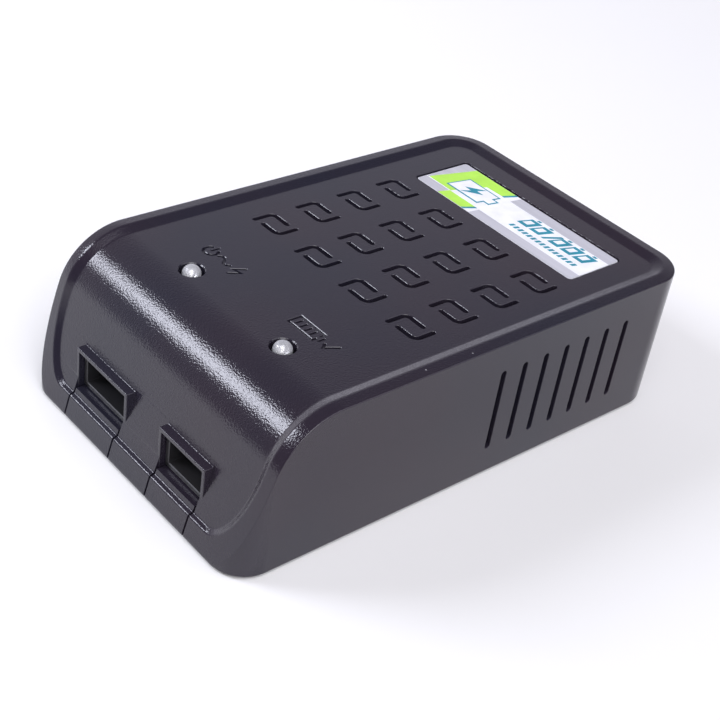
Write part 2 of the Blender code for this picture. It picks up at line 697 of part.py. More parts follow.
def make_socket(pins, nylon, tinned):
    """A side-entry pin header, its keyed side up, and its bent pins."""
    x = SOCKETS[pins]
    half = header_half(pins)
    back = HEADER_FRONT + HEADER_DEPTH
    floor = PART_FLOOR
    roof = floor + HEADER_HEIGHT
    pin_z = floor + HEADER_HEIGHT / 2 + PIN_ABOVE_MIDDLE

    bm = bmesh.new()
    add_box(bm, (x - half, x + half), (HEADER_FRONT, back), (floor, roof))
    body = add_object(f"socket_{pins}_pin", bm, nylon)
    bm = bmesh.new()
    add_box(bm, (x - half + HEADER_WALL, x + half - HEADER_WALL),
            (HEADER_FRONT - CLEAR, HEADER_FRONT + HEADER_CAVITY), (floor + HEADER_WALL, roof - HEADER_WALL))
    boolean(body, add_tool(f"socket_{pins}_cavity", bm))
    bm = bmesh.new()
    key_width, key_depth = KEY_SLOT
    for sx in (-1, 1):
        middle = x + sx * (half - KEY_INSET)
        add_box(bm, (middle - key_width / 2, middle + key_width / 2),
                (HEADER_FRONT - CLEAR, HEADER_FRONT + key_depth),
                (roof - HEADER_WALL - CLEAR, roof + CLEAR))
    bore = PIN_SIDE / 2 + FIT
    for px in pin_places(pins):
        add_box(bm, (px - bore, px + bore), (HEADER_FRONT + HEADER_CAVITY - CLEAR, back + CLEAR),
                (pin_z - bore, pin_z + bore))
    boolean(body, add_tool(f"socket_{pins}_keys", bm))

    half_pin = PIN_SIDE / 2
    low = BOARD_BOTTOM - PIN_BELOW_BOARD
    tip = HEADER_FRONT + HEADER_CAVITY - CONTACT_LENGTH
    outline = [(tip, pin_z - half_pin), (PIN_BACK - half_pin, pin_z - half_pin), (PIN_BACK - half_pin, low),
               (PIN_BACK + half_pin, low), (PIN_BACK + half_pin, pin_z + half_pin), (tip, pin_z + half_pin)]
    for number, px in enumerate(pin_places(pins), 1):
        bm = bmesh.new()
        add_prism(bm, outline, px - half_pin, px + half_pin, "yzx")
        add_object(f"socket_{pins}_contact_{number}", bm, tinned)


def figure_eight():
    radius = INLET_MOUTH_RADIUS
    z = PART_FLOOR + INLET_HEIGHT / 2
    right = arc((INLET_X + INLET_SPREAD, z), radius, -90, 90, 8)
    left = arc((INLET_X - INLET_SPREAD, z), radius, 90, 270, 8)
    top = [(INLET_X, z + radius - INLET_DIP)]
    bottom = [(INLET_X, z - radius + INLET_DIP)]
    return right + top + left + bottom


def make_inlet(plastic, brass):
    back = INLET_FRONT - INLET_DEPTH
    floor = INLET_FRONT - INLET_MOUTH_DEPTH
    z = PART_FLOOR + INLET_HEIGHT / 2
    bm = bmesh.new()
    outline = rounded_box_outline((INLET_X - INLET_HALF, INLET_X + INLET_HALF),
                                  (PART_FLOOR, PART_FLOOR + INLET_HEIGHT), INLET_CORNER)
    add_prism(bm, outline, back, INLET_FRONT, "xzy")
    body = add_object("mains_inlet", bm, plastic, smooth=30)
    bm = bmesh.new()
    add_prism(bm, figure_eight(), floor, INLET_FRONT + CLEAR, "xzy")
    boolean(body, add_tool("inlet_mouth", bm))
    bm = bmesh.new()
    for sx in (-1, 1):
        centre = (INLET_X + sx * INLET_SPREAD, z)
        add_prism(bm, circle(centre, INLET_PIN_RADIUS + FIT, 12), back - CLEAR, floor + CLEAR, "xzy")
    boolean(body, add_tool("inlet_bores", bm))
    for side, sx in (("left", -1), ("right", 1)):
        centre = (INLET_X + sx * INLET_SPREAD, z)
        bm = bmesh.new()
        pin = circle(centre, INLET_PIN_RADIUS, 12)
        add_prism(bm, pin, back - INLET_PIN_TAIL, floor + INLET_PIN, "xzy")
        add_object(f"inlet_pin_{side}", bm, brass, smooth=40)


# ---------------------------------------------------------------- circuit board and its parts

def make_board(laminate):
    bm = bmesh.new()
    add_box(bm, (-BOARD_HALF_WIDTH, BOARD_HALF_WIDTH), BOARD_Y, (BOARD_BOTTOM, BOARD_TOP))
    board = add_object("circuit_board", bm, laminate)
    bm = bmesh.new()
    levels = (BOARD_BOTTOM - CLEAR, BOARD_TOP + CLEAR)
    reach = BOSS_RADIUS + 2 * FIT
    for x, y in boss_places():
        outer = math.copysign(BOARD_HALF_WIDTH + CLEAR, x)
        inner = x - math.copysign(reach, x)
        far = y + reach if y < 0 else BOARD_Y[1] + CLEAR
        add_box(bm, sorted((inner, outer)), (y - reach, far), levels)
    bore = PIN_SIDE / 2 + FIT
    for pins in SOCKETS:
        for px in pin_places(pins):
            add_box(bm, (px - bore, px + bore), (PIN_BACK - bore, PIN_BACK + bore), levels)
    boolean(board, add_tool("board_cuts", bm))


def make_can(name, centre, radius, height, sleeve):
    """An electrolytic capacitor standing on the board, with its rolled groove near the base."""
    base = PART_FLOOR
    top = base + height
    bm = bmesh.new()
    edge = CAN_EDGE
    groove = base + CAN_GROOVE
    profile = ((0, base), (radius - edge, base), (radius, base + edge), (radius, groove - edge),
               (radius - edge, groove), (radius, groove + edge), (radius, top - edge),
               (radius - edge, top), (0, top))
    add_turned(bm, centre, profile, 20)
    add_object(name, bm, sleeve, smooth=50)


def add_column(bm, centre, half, z):
    """A box about a vertical line; half holds its half sizes along x and y."""
    x, y = centre
    add_box(bm, (x - half[0], x + half[0]), (y - half[1], y + half[1]), z)


def make_bobbin(nylon, rim, spool, low, high):
    """The transformer's bobbin: two flanges on a hollow square spool."""
    bm = bmesh.new()
    add_column(bm, TRANSFORMER_PLACE, (rim, BOBBIN_HALF["lower"]), (low, low + BOBBIN_FLANGE))
    bobbin = add_object("transformer_bobbin", bm, nylon)
    bm = bmesh.new()
    add_column(bm, TRANSFORMER_PLACE, (spool, spool), (low + BOBBIN_OVERLAP, high - BOBBIN_OVERLAP))
    boolean(bobbin, add_tool("bobbin_spool", bm), "UNION")
    bm = bmesh.new()
    add_column(bm, TRANSFORMER_PLACE, (rim, BOBBIN_HALF["upper"]), (high - BOBBIN_FLANGE, high))
    boolean(bobbin, add_tool("bobbin_top_flange", bm), "UNION")
    bm = bmesh.new()
    bore = CORE_LEG + FIT
    add_column(bm, TRANSFORMER_PLACE, (bore, bore), (low - CLEAR, high + CLEAR))
    boolean(bobbin, add_tool("bobbin_bore", bm))


def make_winding(tape, rim, spool, low, high):
    x, y = TRANSFORMER_PLACE
    across = rim - WINDING_INSET
    wrap = rounded_box_outline((x - across, x + across), (y - WINDING_HALF, y + WINDING_HALF),
                               WINDING_CORNER)
    bm = bmesh.new()
    add_prism(bm, wrap, low + BOBBIN_FLANGE + FIT, high - BOBBIN_FLANGE - FIT)
    winding = add_object("transformer_winding", bm, tape, smooth=40)
    bm = bmesh.new()
    hole = spool + FIT
    add_column(bm, TRANSFORMER_PLACE, (hole, hole), (low, high))
    boolean(winding, add_tool("winding_bore", bm))


def make_transformer(ferrite, nylon, tape):
    """A vertical bobbin with its winding, between two E-shaped core halves."""
    x, y = TRANSFORMER_PLACE
    base = PART_FLOOR
    crown = base + CORE_HEIGHT
    middle = base + CORE_HEIGHT / 2
    spool = CORE_LEG + FIT + BOBBIN_WALL
    rim = CORE_REACH - CORE_OUTER_LEG - FIT
    levels = (base + CORE_BACK + FIT, crown - CORE_BACK - FIT)
    make_bobbin(nylon, rim, spool, *levels)
    make_winding(tape, rim, spool, *levels)
    inner = CORE_REACH - CORE_OUTER_LEG
    halves = (("lower", base, middle - FIT / 2, 1), ("upper", crown, middle + FIT / 2, -1))
    for name, low, high, sign in halves:
        root = low + sign * CORE_BACK
        right = [(CORE_REACH, low), (CORE_REACH, high), (inner, high), (inner, root),
                 (CORE_LEG, root), (CORE_LEG, high)]
        left = [(-u, v) for u, v in reversed(right)]
        bm = bmesh.new()
        add_prism(bm, [(x + u, v) for u, v in right + left], y - CORE_LEG, y + CORE_LEG, "xzy")
        add_object(f"transformer_core_{name}", bm, ferrite)


def make_block(name, centre, size, mat):
    """A moulded block part on the board, with small edge chamfers."""
    bm = bmesh.new()
    add_column(bm, centre, (size[0] / 2, size[1] / 2), (PART_FLOOR, PART_FLOOR + size[2]))
    bmesh.ops.bevel(bm, geom=bm.edges[:], offset=BLOCK_CHAMFER, segments=1, affect="EDGES")
    add_object(name, bm, mat)


def make_choke(ferrite):
    """A ring core, lying flat, with its windings as a ribbed ring."""
    bm = bmesh.new()
    rings = []
    for i in range(CHOKE_STEPS):
        angle = 2 * math.pi * i / CHOKE_STEPS
        thick = CHOKE_THICK[i % 2]
        tall = thick * CHOKE_TALL
        section = []
        for out, up in rounded_box_outline((-thick, thick), (-tall, tall), CHOKE_CORNER, 1):
            x = CHOKE_PLACE[0] + (CHOKE_RADIUS + out) * math.cos(angle)
            y = CHOKE_PLACE[1] + (CHOKE_RADIUS + out) * math.sin(angle)
            section.append(bm.verts.new((x, y, CHOKE_MIDDLE + up)))
        rings.append(section)
    for i in range(CHOKE_STEPS):
        here, there = rings[i], rings[(i + 1) % CHOKE_STEPS]
        for j in range(len(here)):
            k = (j + 1) % len(here)
            bm.faces.new((here[j], here[k], there[k], there[j]))
    add_object("line_choke", bm, ferrite, smooth=40)


def make_heat_sink(aluminium):
    """A folded plate that stands beside the switching transistor."""
    low = PART_FLOOR
    top = low + SINK_HEIGHT
    face = SINK_X + SINK_THICKNESS
    outline = [(SINK_X, low), (face, low), (face, top - SINK_THICKNESS),
               (SINK_X + SINK_WIDTH, top - SINK_THICKNESS), (SINK_X + SINK_WIDTH, top), (SINK_X, top)]
    bm = bmesh.new()
    add_prism(bm, outline, *SINK_Y, "xzy")
    add_object("heat_sink", bm, aluminium)


def make_transistor(resin):
    """A flat power transistor, standing against the heat sink."""
    bm = bmesh.new()
    back = SINK_X + SINK_THICKNESS + FIT
    thick, wide, tall = TRANSISTOR_SIZE
    low = PART_FLOOR + TRANSISTOR_LIFT
    add_box(bm, (back, back + thick), (TRANSISTOR_Y - wide / 2, TRANSISTOR_Y + wide / 2), (low, low + tall))
    body = add_object("switching_transistor", bm, resin)
    bm = bmesh.new()
    for step in (-1, 0, 1):
        y = TRANSISTOR_Y + step * TRANSISTOR_LEG_PITCH
        add_box(bm, (back + TRANSISTOR_LEG_X[0], back + TRANSISTOR_LEG_X[1]),
                (y - TRANSISTOR_LEG_HALF, y + TRANSISTOR_LEG_HALF), (PART_FLOOR, low + LEG_OVERLAP))
    boolean(body, add_tool("transistor_legs", bm), "UNION")


def make_chip(name, centre, size, legs, resin):
    """A flat integrated circuit with gull-wing legs along its two long sides."""
    x, y = centre
    width, length, height = size
    low = PART_FLOOR + CHIP_LIFT
    bm = bmesh.new()
    add_column(bm, centre, (width / 2, length / 2), (low, low + height))
    body = add_object(name, bm, resin)
    bm = bmesh.new()
    half = (width / 2 + CHIP_LEG_REACH, CHIP_LEG_HALF)
    for i in range(legs):
        place = (x, y + (i - (legs - 1) / 2) * CHIP_LEG_PITCH)
        add_column(bm, place, half, (PART_FLOOR, PART_FLOOR + CHIP_LEG_HEIGHT))
    boolean(body, add_tool(f"{name}_legs", bm), "UNION")


def make_barrier(sheet):
    """The insulation sheet between the mains half and the low-voltage half of the board."""
    bm = bmesh.new()
    add_box(bm, (-BARRIER_HALF, BARRIER_HALF), BARRIER_Y, (PART_FLOOR, BARRIER_TOP))
    add_object("insulation_sheet", bm, sheet)


def main():
    for obj in list(bpy.data.objects):
        bpy.data.objects.remove(obj, do_unlink=True)

    black_plastic = material("black_plastic", (0.030, 0.030, 0.034), 0.42)
    black_nylon = material("black_nylon", (0.022, 0.022, 0.024), 0.38)
    clear_epoxy = material("clear_epoxy", (0.86, 0.87, 0.88), 0.08)
    label_film = material("label_film", (0.80, 0.81, 0.83), 0.35)
    laminate = material("green_laminate", (0.02, 0.16, 0.06), 0.35)
    tinned = material("tinned_copper", (0.75, 0.74, 0.70), 0.25, 1.0)
    brass = material("nickel_plated_brass", (0.78, 0.76, 0.68), 0.22, 1.0)
    ferrite = material("ferrite", (0.055, 0.055, 0.06), 0.6)
    tape = material("yellow_tape", (0.75, 0.56, 0.07), 0.45)
    sleeve = material("blue_sleeve", (0.03, 0.05, 0.16), 0.35)
    dark_sleeve = material("black_sleeve", (0.03, 0.03, 0.035), 0.35)
    ceramic = material("blue_ceramic", (0.05, 0.16, 0.40), 0.4)
    resin = material("moulded_resin", (0.035, 0.035, 0.037), 0.5)
    aluminium = material("aluminium", (0.70, 0.71, 0.72), 0.35, 1.0)
    fish_paper = material("insulation_paper", (0.50, 0.52, 0.48), 0.7)
    steel = material("zinc_steel", (0.55, 0.55, 0.56), 0.3, 1.0)
    rubber = material("black_rubber", (0.02, 0.02, 0.02), 0.8)
    white_spacer = material("white_spacer", (0.75, 0.75, 0.72), 0.5)

    make_upper_housing(black_plastic)
    make_lower_housing(black_plastic)
    make_feet(rubber)
    make_screws(steel)
    make_label(label_film)
    make_lamps(clear_epoxy, white_spacer)
    for pins in SOCKETS:
        make_socket(pins, black_nylon, tinned)
    make_inlet(black_nylon, brass)
    make_board(laminate)

    for name, (place, radius, height) in CANS.items():
        make_can(name, place, radius, height, dark_sleeve if name == "mains_capacitor" else sleeve)
    make_transformer(ferrite, resin, tape)
    make_choke(ferrite)
    make_heat_sink(aluminium)
    make_transistor(resin)
    make_barrier(fish_paper)
    for name, (place, size) in BLOCKS.items():
        make_block(name, place, size, ceramic if name == "safety_capacitor" else resin)
    for name, (place, size, legs) in CHIPS.items():
        make_chip(name, place, size, legs, resin)
    for i in range(RESISTOR_COUNT):
        place = (RESISTOR_FIRST[0] + i * RESISTOR_PITCH, RESISTOR_FIRST[1])
        make_block(f"balance_resistor_{i + 1}", place, RESISTOR_SIZE, resin)


main()
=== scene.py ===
"""Looks of the balance battery charger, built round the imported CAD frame.

Frame: +Z up, the balance sockets face -Y, the mains inlet faces +Y.
"""
import math

import bmesh
import bpy
from mathutils import Matrix, Vector


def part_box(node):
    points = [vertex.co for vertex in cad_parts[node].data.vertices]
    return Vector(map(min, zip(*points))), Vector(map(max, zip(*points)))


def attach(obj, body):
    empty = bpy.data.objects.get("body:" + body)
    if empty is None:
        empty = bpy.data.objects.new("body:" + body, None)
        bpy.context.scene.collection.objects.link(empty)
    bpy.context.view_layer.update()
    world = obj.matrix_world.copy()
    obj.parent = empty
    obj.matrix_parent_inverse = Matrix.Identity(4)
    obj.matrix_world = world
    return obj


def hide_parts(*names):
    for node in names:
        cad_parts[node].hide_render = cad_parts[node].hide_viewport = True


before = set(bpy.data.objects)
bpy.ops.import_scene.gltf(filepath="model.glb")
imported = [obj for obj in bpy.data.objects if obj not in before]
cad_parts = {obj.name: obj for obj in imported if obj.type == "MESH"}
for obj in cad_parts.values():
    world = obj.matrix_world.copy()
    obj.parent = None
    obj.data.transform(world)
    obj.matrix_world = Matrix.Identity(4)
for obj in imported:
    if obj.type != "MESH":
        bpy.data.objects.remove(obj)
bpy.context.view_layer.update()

MM = 0.001


# ---------------------------------------------------------------- sizes, most of them from the frame

CASE_LOW, CASE_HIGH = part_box("upper_housing")
BOTTOM = CASE_LOW.z
TOP = CASE_HIGH.z
HALF_WIDTH = CASE_HIGH.x
HALF_LENGTH = CASE_HIGH.y
WALL = 1.8 * MM
FLOOR_TOP = BOTTOM + WALL
FIT = 0.3 * MM
CLEAR = 1.0 * MM                    # how far a cutter reaches past the surface it cuts

FRONT_CORNER = 5.5 * MM
BACK_CORNER = 6.8 * MM
BEND_START = -28.7 * MM
BEND_RADIUS = 11.6 * MM
SLOPE_ANGLE = math.radians(72)
RIM_CROWN = 0.2 * MM
RIM_WIDTH = 2.05 * MM
PANEL_DEPTH = 0.65 * MM
PANEL_INSET = 1.7 * MM
ROOF_DEPTH = PANEL_DEPTH + 1.7 * MM
CREST_SILL = 3.2 * MM
PANEL_SILL = 3.75 * MM
CREST_SWEEP = 6.5 * MM
PANEL_SWEEP = 5.45 * MM
SLOPE_TAPER = 0.7                   # share of the inner slope's width that it loses down the front
PANEL_Z = TOP - PANEL_DEPTH

CORNER_STEPS = 16
BEND_STEPS = 48
SWEEP_STEPS = 28
BASE_ROUND = 0.3 * MM               # how far each rounding reaches from its edge
EDGE_ROUND = 0.22 * MM
CREST_ROUND = 0.3 * MM
PANEL_ROUND = 0.2 * MM
ROUND_STEPS = 5
SKIN_MARGIN = 1.0 * MM              # how far the skin's first and last lines lie past its edges
PANEL_LAST_SWEEP = PANEL_SWEEP - 0.6 * MM

VENT_CENTRE = (0.35 * MM, 5.6 * MM)
VENT_PITCH = (11.0 * MM, 8.72 * MM)
VENT_COUNT = 4
HOOK_HALF = (2.8 * MM, 1.65 * MM)
HOOK_TAIL = 2.0 * MM
HOOK_ARM = 0.95 * MM
HOOK_CORNER = 1.1 * MM
HOOK_SLOT = 0.84 * MM
CHAMFER = 0.06 * MM
LAMP_CHAMFER = 0.15 * MM

WALL_VENT_COUNT = 7
WALL_VENT_FIRST = 2.65 * MM
WALL_VENT_PITCH = 4.63 * MM
WALL_VENT_Z = (BOTTOM + 4.95 * MM, BOTTOM + 19.65 * MM)
WALL_VENT_SLOT = 1.05 * MM

VENT_REACH = 4.0 * MM               # how far below the crest the cutters for vents and lamps end
LAMP_REACH = 5.0 * MM
SPACE_BACK = HALF_LENGTH + 5.0 * MM
CUT_FRONT = -46.0 * MM

LAMPS = ("power_lamp", "status_lamp")
LAMP_HOLE_RADIUS = 2.0 * MM
SOCKETS = ("socket_4_pin", "socket_3_pin")
SOCKET_FIT = 0.2 * MM
COLLAR_WALL = 0.65 * MM
COLLAR_FRONT = -42.5 * MM
COLLAR_FLOOR = BOTTOM + 4.4 * MM
COLLAR_SOFT = 0.16 * MM
FILLET_START = 0.2 * MM             # the wedge where a collar's lid meets the slope
FILLET_RISE = 0.24 * MM
FILLET_ROOT = (0.5 * MM, 0.3 * MM)
FILLET_INSET = 0.05 * MM
OPENING_BACK = -36.0 * MM
BOARD_LOW, BOARD_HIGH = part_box("circuit_board")

LABEL_CORNER = 0.5 * MM
INLET_CORNER = 0.8 * MM
WINDOW_CORNER = 0.9 * MM
INLET_SOFT = 0.25 * MM
INLET_FLARE = 0.4 * MM
INLET_MOUTH_DEPTH = 10.5 * MM
INLET_SPREAD = 4.3 * MM             # half the distance between the mouth's two rounds
INLET_MOUTH_RADIUS = 4.0 * MM
INLET_DIP = 0.9 * MM
INLET_BORE = 1.35 * MM

HEADER_WALL = 0.75 * MM
HEADER_CAVITY = 7.5 * MM
HEADER_CORNER = 0.2 * MM
HEADER_SOFT = 0.12 * MM
KEY_SLOT = (1.2 * MM, 3.2 * MM)     # width and depth of the two slots that key the plug
KEY_INSET = 2.9 * MM                # from the header's end to the middle of a key slot
PIN_HALF = 0.32 * MM                # half a contact's square side
PIN_TIP = (0.12 * MM, 0.6 * MM)     # half side at the very tip, and the taper's length
PIN_TAIL = (0.15 * MM, 0.4 * MM)
PIN_BEND = 0.5 * MM
PIN_BEND_STEPS = 6

BOSS_PLACES = [(side * 21.9 * MM, y) for side in (-1, 1) for y in (-31.0 * MM, 37.5 * MM)]
BOSS_RADIUS = 3.1 * MM
BOSS_SPLIT = 9.0 * MM
BOSS_DROP = 2.2 * MM
PILOT_RADIUS = 1.3 * MM
PILOT_DROP = 4.2 * MM
SCREW_SEAT = 3.6 * MM
SCREW_HEAD = 2.2 * MM
SCREW_SHANK = 1.0 * MM
SCREW_DOME = 0.7 * MM
SCREW_TIP = 1.0 * MM
THREAD_TURNS = 9
THREAD_DEPTH = 0.2 * MM
CROSS = (1.15 * MM, 0.27 * MM, 1.1 * MM)     # reach, half width and depth of the screws' recess
CROSS_TAPER = 0.45
TRAY_SOFT = 0.3 * MM
TAB_BACK = -39.2 * MM
TAB_ROOT = 0.4 * MM
REST_PLACES = [(side * 23.0 * MM, y) for side in (-1, 1) for y in (-14.0 * MM, 12.0 * MM)]
REST_RADIUS = 1.6 * MM
REST_ROOT = 0.5 * MM
FOOT_SUNK = 0.8 * MM
FOOT_SOFT = 0.3 * MM
FOOT_HOLLOW = 0.1 * MM

# The two sunk marks behind the lamps
MARK_PLACE = (-0.3 * MM, 5.8 * MM)  # from a lamp's middle to its mark's
MARK_HALF_STROKE = 0.2 * MM
MARK_DEPTH = 0.35 * MM
MARK_CHAMFER = 0.08 * MM

# The label's prints
INK = 0.025 * MM
INK_LIFT = 0.002 * MM
INK_RIM = 0.06 * MM
CELL_LEAN = 0.1079                  # slant of the cells and dashes, as width for each full height
SLASH_LEAN = 0.1826
EMBLEM_LEAN = 0.18
EMBLEM_MIDDLE = (0.235, 0.505)
EMBLEM_LINE = 0.28
CELL_GROUPS = (2, 3)
DASH_COUNT = 15

# Sky, softboxes and camera
SKY_LEAN = (0.9, 0.0, 1.0)          # the sky darkens along this direction
SKY_STOPS = ((-0.76, 1.5), (-0.6, 0.95), (-0.33, 0.58), (-0.08, 0.55), (0.06, 0.38),
             (0.27, 0.14), (0.5, 0.08), (0.82, 0.08), (1.0, 1.42), (1.35, 1.42))
SKY_TINT = (0.985, 0.965, 1.09)
SKY_FRONT = (-0.84, -0.56, 0.2, 1.0)   # between these two Y it dims toward the front, to 0.2
STRIP_HEIGHT = math.radians(50)     # of the strip softbox above the front, seen from the bend
STRIP_AWAY = 0.5
STRIP_X = -0.42
STRIP_SIZE = (0.36, 0.17)
STRIP_POWER = 2.95
STRIP_TINT = (0.86, 0.88, 1.0)
STRIP_AIM = math.radians(41)        # the place on the bend that it faces
KEY_PLACE = (0.42, -0.30, 0.62)
KEY_SIZE = (0.5, 0.5)
KEY_POWER = 2.3
FLOOR_HALF = 3.0
FLOOR_LEVELS = (-0.02, -0.00005)
VIEW_ANGLES = (43.97, 35.31, 9.75)  # azimuth, elevation and roll
VIEW_TARGET = Vector((0, 5.02 * MM, BOTTOM))
VIEW_DISTANCE = 0.236
LENS = 70.02
LENS_SHIFT = (-0.0253, 0.0225)


# ---------------------------------------------------------------- materials

RANGE = ("From Min", "From Max", "To Min", "To Max")


class Nodes:
    """A short way to build a node tree: add a node with its settings and its links."""

    def __init__(self, name):
        self.material = bpy.data.materials.new(name)
        self.material.use_nodes = True
        self.tree = self.material.node_tree
        self.shader = self.tree.nodes["Principled BSDF"]
        self.place = self.add("ShaderNodeTexCoord").outputs["Object"]

    def add(self, kind, inputs=None, **settings):
        node = self.tree.nodes.new(kind)
        for key, value in settings.items():
            setattr(node, key, value)
        for key, value in (inputs or {}).items():
            if isinstance(value, bpy.types.NodeSocket):
                self.tree.links.new(value, node.inputs[key])
            else:
                node.inputs[key].default_value = value
        return node

    def noise(self, scale, detail=2.0, roughness=0.5, stretch=(1, 1, 1)):
        """Noise in object space, with scale in cells per metre."""
        mapping = self.add("ShaderNodeMapping", {"Vector": self.place, "Scale": stretch})
        inputs = dict(zip(("Vector", "Scale", "Detail", "Roughness"),
                          (mapping.outputs["Vector"], scale, detail, roughness)))
        return self.add("ShaderNodeTexNoise", inputs).outputs["Fac"]

    def remap(self, value, low=0.3, high=0.7, to_low=0.0, to_high=1.0):
        inputs = dict(zip(("Value", *RANGE), (value, low, high, to_low, to_high)))
        return self.add("ShaderNodeMapRange", inputs).outputs["Result"]

    def gloss(self, value, low, high):
        self.link(Roughness=self.remap(value, to_low=low, to_high=high))

    def mix(self, factor, first, second):
        inputs = {0: factor, 6: first, 7: second}
        return self.add("ShaderNodeMix", inputs, data_type="RGBA").outputs[2]

    def bump(self, height, strength, distance, normal=None):
        inputs = {"Height": height, "Strength": strength, "Distance": distance}
        if normal:
            inputs["Normal"] = normal
        return self.add("ShaderNodeBump", inputs).outputs["Normal"]

    def link(self, **sockets):
        for key, value in sockets.items():
            self.tree.links.new(value, self.shader.inputs[key.replace("_", " ")])

    def set(self, **values):
        for key, value in values.items():
            self.shader.inputs[key.replace("_", " ")].default_value = value


def rgba(colour):
    return (*colour, 1.0)


def moulded(name, colour, drift, roughness, grain_mm, grain_depth, dust=0.0):
    """Moulded or cast surface: fine grain, slow colour drift, uneven gloss and a little dust.

    drift is the second colour that the surface wanders to over a few centimetres, and
    roughness is a pair.
    """
    n = Nodes(name)
    grain = n.noise(1 / (grain_mm * MM), detail=1.0, roughness=0.5)
    cloud = n.noise(28.0, detail=2.0)
    smear = n.noise(140.0, detail=4.0, roughness=0.6)
    base = n.mix(n.remap(cloud, 0.35, 0.65), rgba(colour), rgba(drift))
    if dust:
        cells = n.add("ShaderNodeTexVoronoi", {"Vector": n.place, "Scale": 210.0, "Randomness": 1.0})
        speck = n.remap(cells.outputs["Distance"], 0.012, 0.035, 1.0, 0.0)
        lone = n.remap(n.noise(70.0), 0.6, 0.62, 0.0, dust)
        both = n.add("ShaderNodeMath", {0: speck, 1: lone}, operation="MULTIPLY")
        base = n.mix(both.outputs[0], base, (0.42, 0.42, 0.43, 1.0))
    n.link(Base_Color=base)
    n.gloss(smear, *roughness)
    n.link(Normal=n.bump(grain, 1.0, grain_depth * MM))
    return n.material


def brushed(name, colour, roughness, stretch, depth, metallic=1.0):
    """Metal or film with fine lines; stretch squeezes the noise across the lines."""
    n = Nodes(name)
    lines = n.noise(900.0, detail=3.0, stretch=stretch)
    cloud = n.noise(160.0, detail=2.0)
    dark = [c * 0.82 for c in colour]
    n.link(Base_Color=n.mix(n.remap(lines), rgba(dark), rgba(colour)))
    n.gloss(cloud, *roughness)
    n.link(Normal=n.bump(lines, 0.6, depth * MM))
    n.set(Metallic=metallic)
    return n.material


def epoxy(name):
    """Cast epoxy of the lamps: clear with a faint milky haze and moulding ripple."""
    n = Nodes(name)
    haze = n.noise(700.0, detail=3.0)
    ripple = n.noise(500.0, detail=1.0)
    n.link(Base_Color=n.mix(n.remap(haze), (0.74, 0.75, 0.77, 1), (0.84, 0.85, 0.87, 1)))
    n.gloss(haze, 0.16, 0.28)
    n.link(Normal=n.bump(ripple, 0.3, 0.02 * MM))
    n.set(Transmission_Weight=0.55, IOR=1.50, Subsurface_Weight=0.3, Subsurface_Scale=1.2 * MM,
          Subsurface_Radius=(1.0, 1.0, 1.0))
    return n.material


def laminate(name):
    """Green solder mask with faint darker tracks under it."""
    n = Nodes(name)
    weave = n.noise(2500.0, detail=1.0)
    wave = n.add("ShaderNodeTexWave", {"Vector": n.place, "Scale": 90.0, "Distortion": 6.0, "Detail": 1.0})
    track = n.remap(wave.outputs["Fac"], 0.45, 0.55)
    n.link(Base_Color=n.mix(track, (0.012, 0.10, 0.04, 1), (0.03, 0.19, 0.07, 1)))
    n.gloss(weave, 0.22, 0.38)
    n.link(Normal=n.bump(track, 0.5, 0.03 * MM, n.bump(weave, 0.4, 0.01 * MM)))
    return n.material


def printed(name, colour, roughness=(0.28, 0.36), fleck=0.06):
    """Ink on the label's film: a faint screen texture and slightly uneven coverage."""
    n = Nodes(name)
    screen = n.noise(5200.0, detail=1.0)
    cover = n.noise(420.0, detail=3.0)
    light = [min(1.0, c * (1 + fleck) + 0.004) for c in colour]
    dark = [c * (1 - fleck) for c in colour]
    n.link(Base_Color=n.mix(n.remap(cover), rgba(dark), rgba(light)))
    n.gloss(cover, *roughness)
    n.link(Normal=n.bump(screen, 0.4, 0.006 * MM))
    return n.material


def wound(name, colour, pitch_mm):
    """Tape wound round a coil: horizontal edges and a soft sheen."""
    n = Nodes(name)
    inputs = {"Vector": n.place, "Scale": 0.32 / (pitch_mm * MM), "Distortion": 0.6}
    wave = n.add("ShaderNodeTexWave", inputs, bands_direction="Z")
    edge = n.remap(wave.outputs["Fac"], 0.0, 0.35)
    dark = [c * 0.55 for c in colour]
    n.link(Base_Color=n.mix(edge, rgba(dark), rgba(colour)))
    n.gloss(n.noise(600.0), 0.3, 0.5)
    n.link(Normal=n.bump(wave.outputs["Fac"], 0.5, 0.05 * MM))
    return n.material


# name, colour, drift, roughness, grain in millimetres and its depth
MOULDED = {
    "nylon": ("socket_black_nylon", (0.020, 0.020, 0.022), (0.026, 0.025, 0.026), (0.26, 0.36), 0.3, 0.004),
    "rubber": ("foot_rubber", (0.014, 0.014, 0.014), (0.024, 0.023, 0.022), (0.7, 0.9), 0.25, 0.03),
    "ferrite": ("core_ferrite", (0.045, 0.045, 0.05), (0.07, 0.068, 0.07), (0.5, 0.7), 0.2, 0.03),
    "blue_sleeve": ("capacitor_blue_sleeve", (0.02, 0.04, 0.14), (0.03, 0.06, 0.18), (0.25, 0.4),
                    0.5, 0.01),
    "black_sleeve": ("capacitor_black_sleeve", (0.02, 0.02, 0.023), (0.03, 0.03, 0.03), (0.25, 0.4),
                     0.5, 0.01),
    "ceramic": ("ceramic_blue", (0.04, 0.13, 0.36), (0.06, 0.17, 0.42), (0.3, 0.45), 0.4, 0.03),
    "resin": ("component_resin", (0.028, 0.028, 0.030), (0.045, 0.044, 0.044), (0.42, 0.6), 0.2, 0.02),
    "paper": ("insulation_fibre", (0.42, 0.44, 0.40), (0.52, 0.52, 0.47), (0.65, 0.85), 0.35, 0.02),
    "spacer": ("spacer_nylon", (0.70, 0.70, 0.66), (0.80, 0.79, 0.74), (0.4, 0.55), 0.4, 0.01),
}
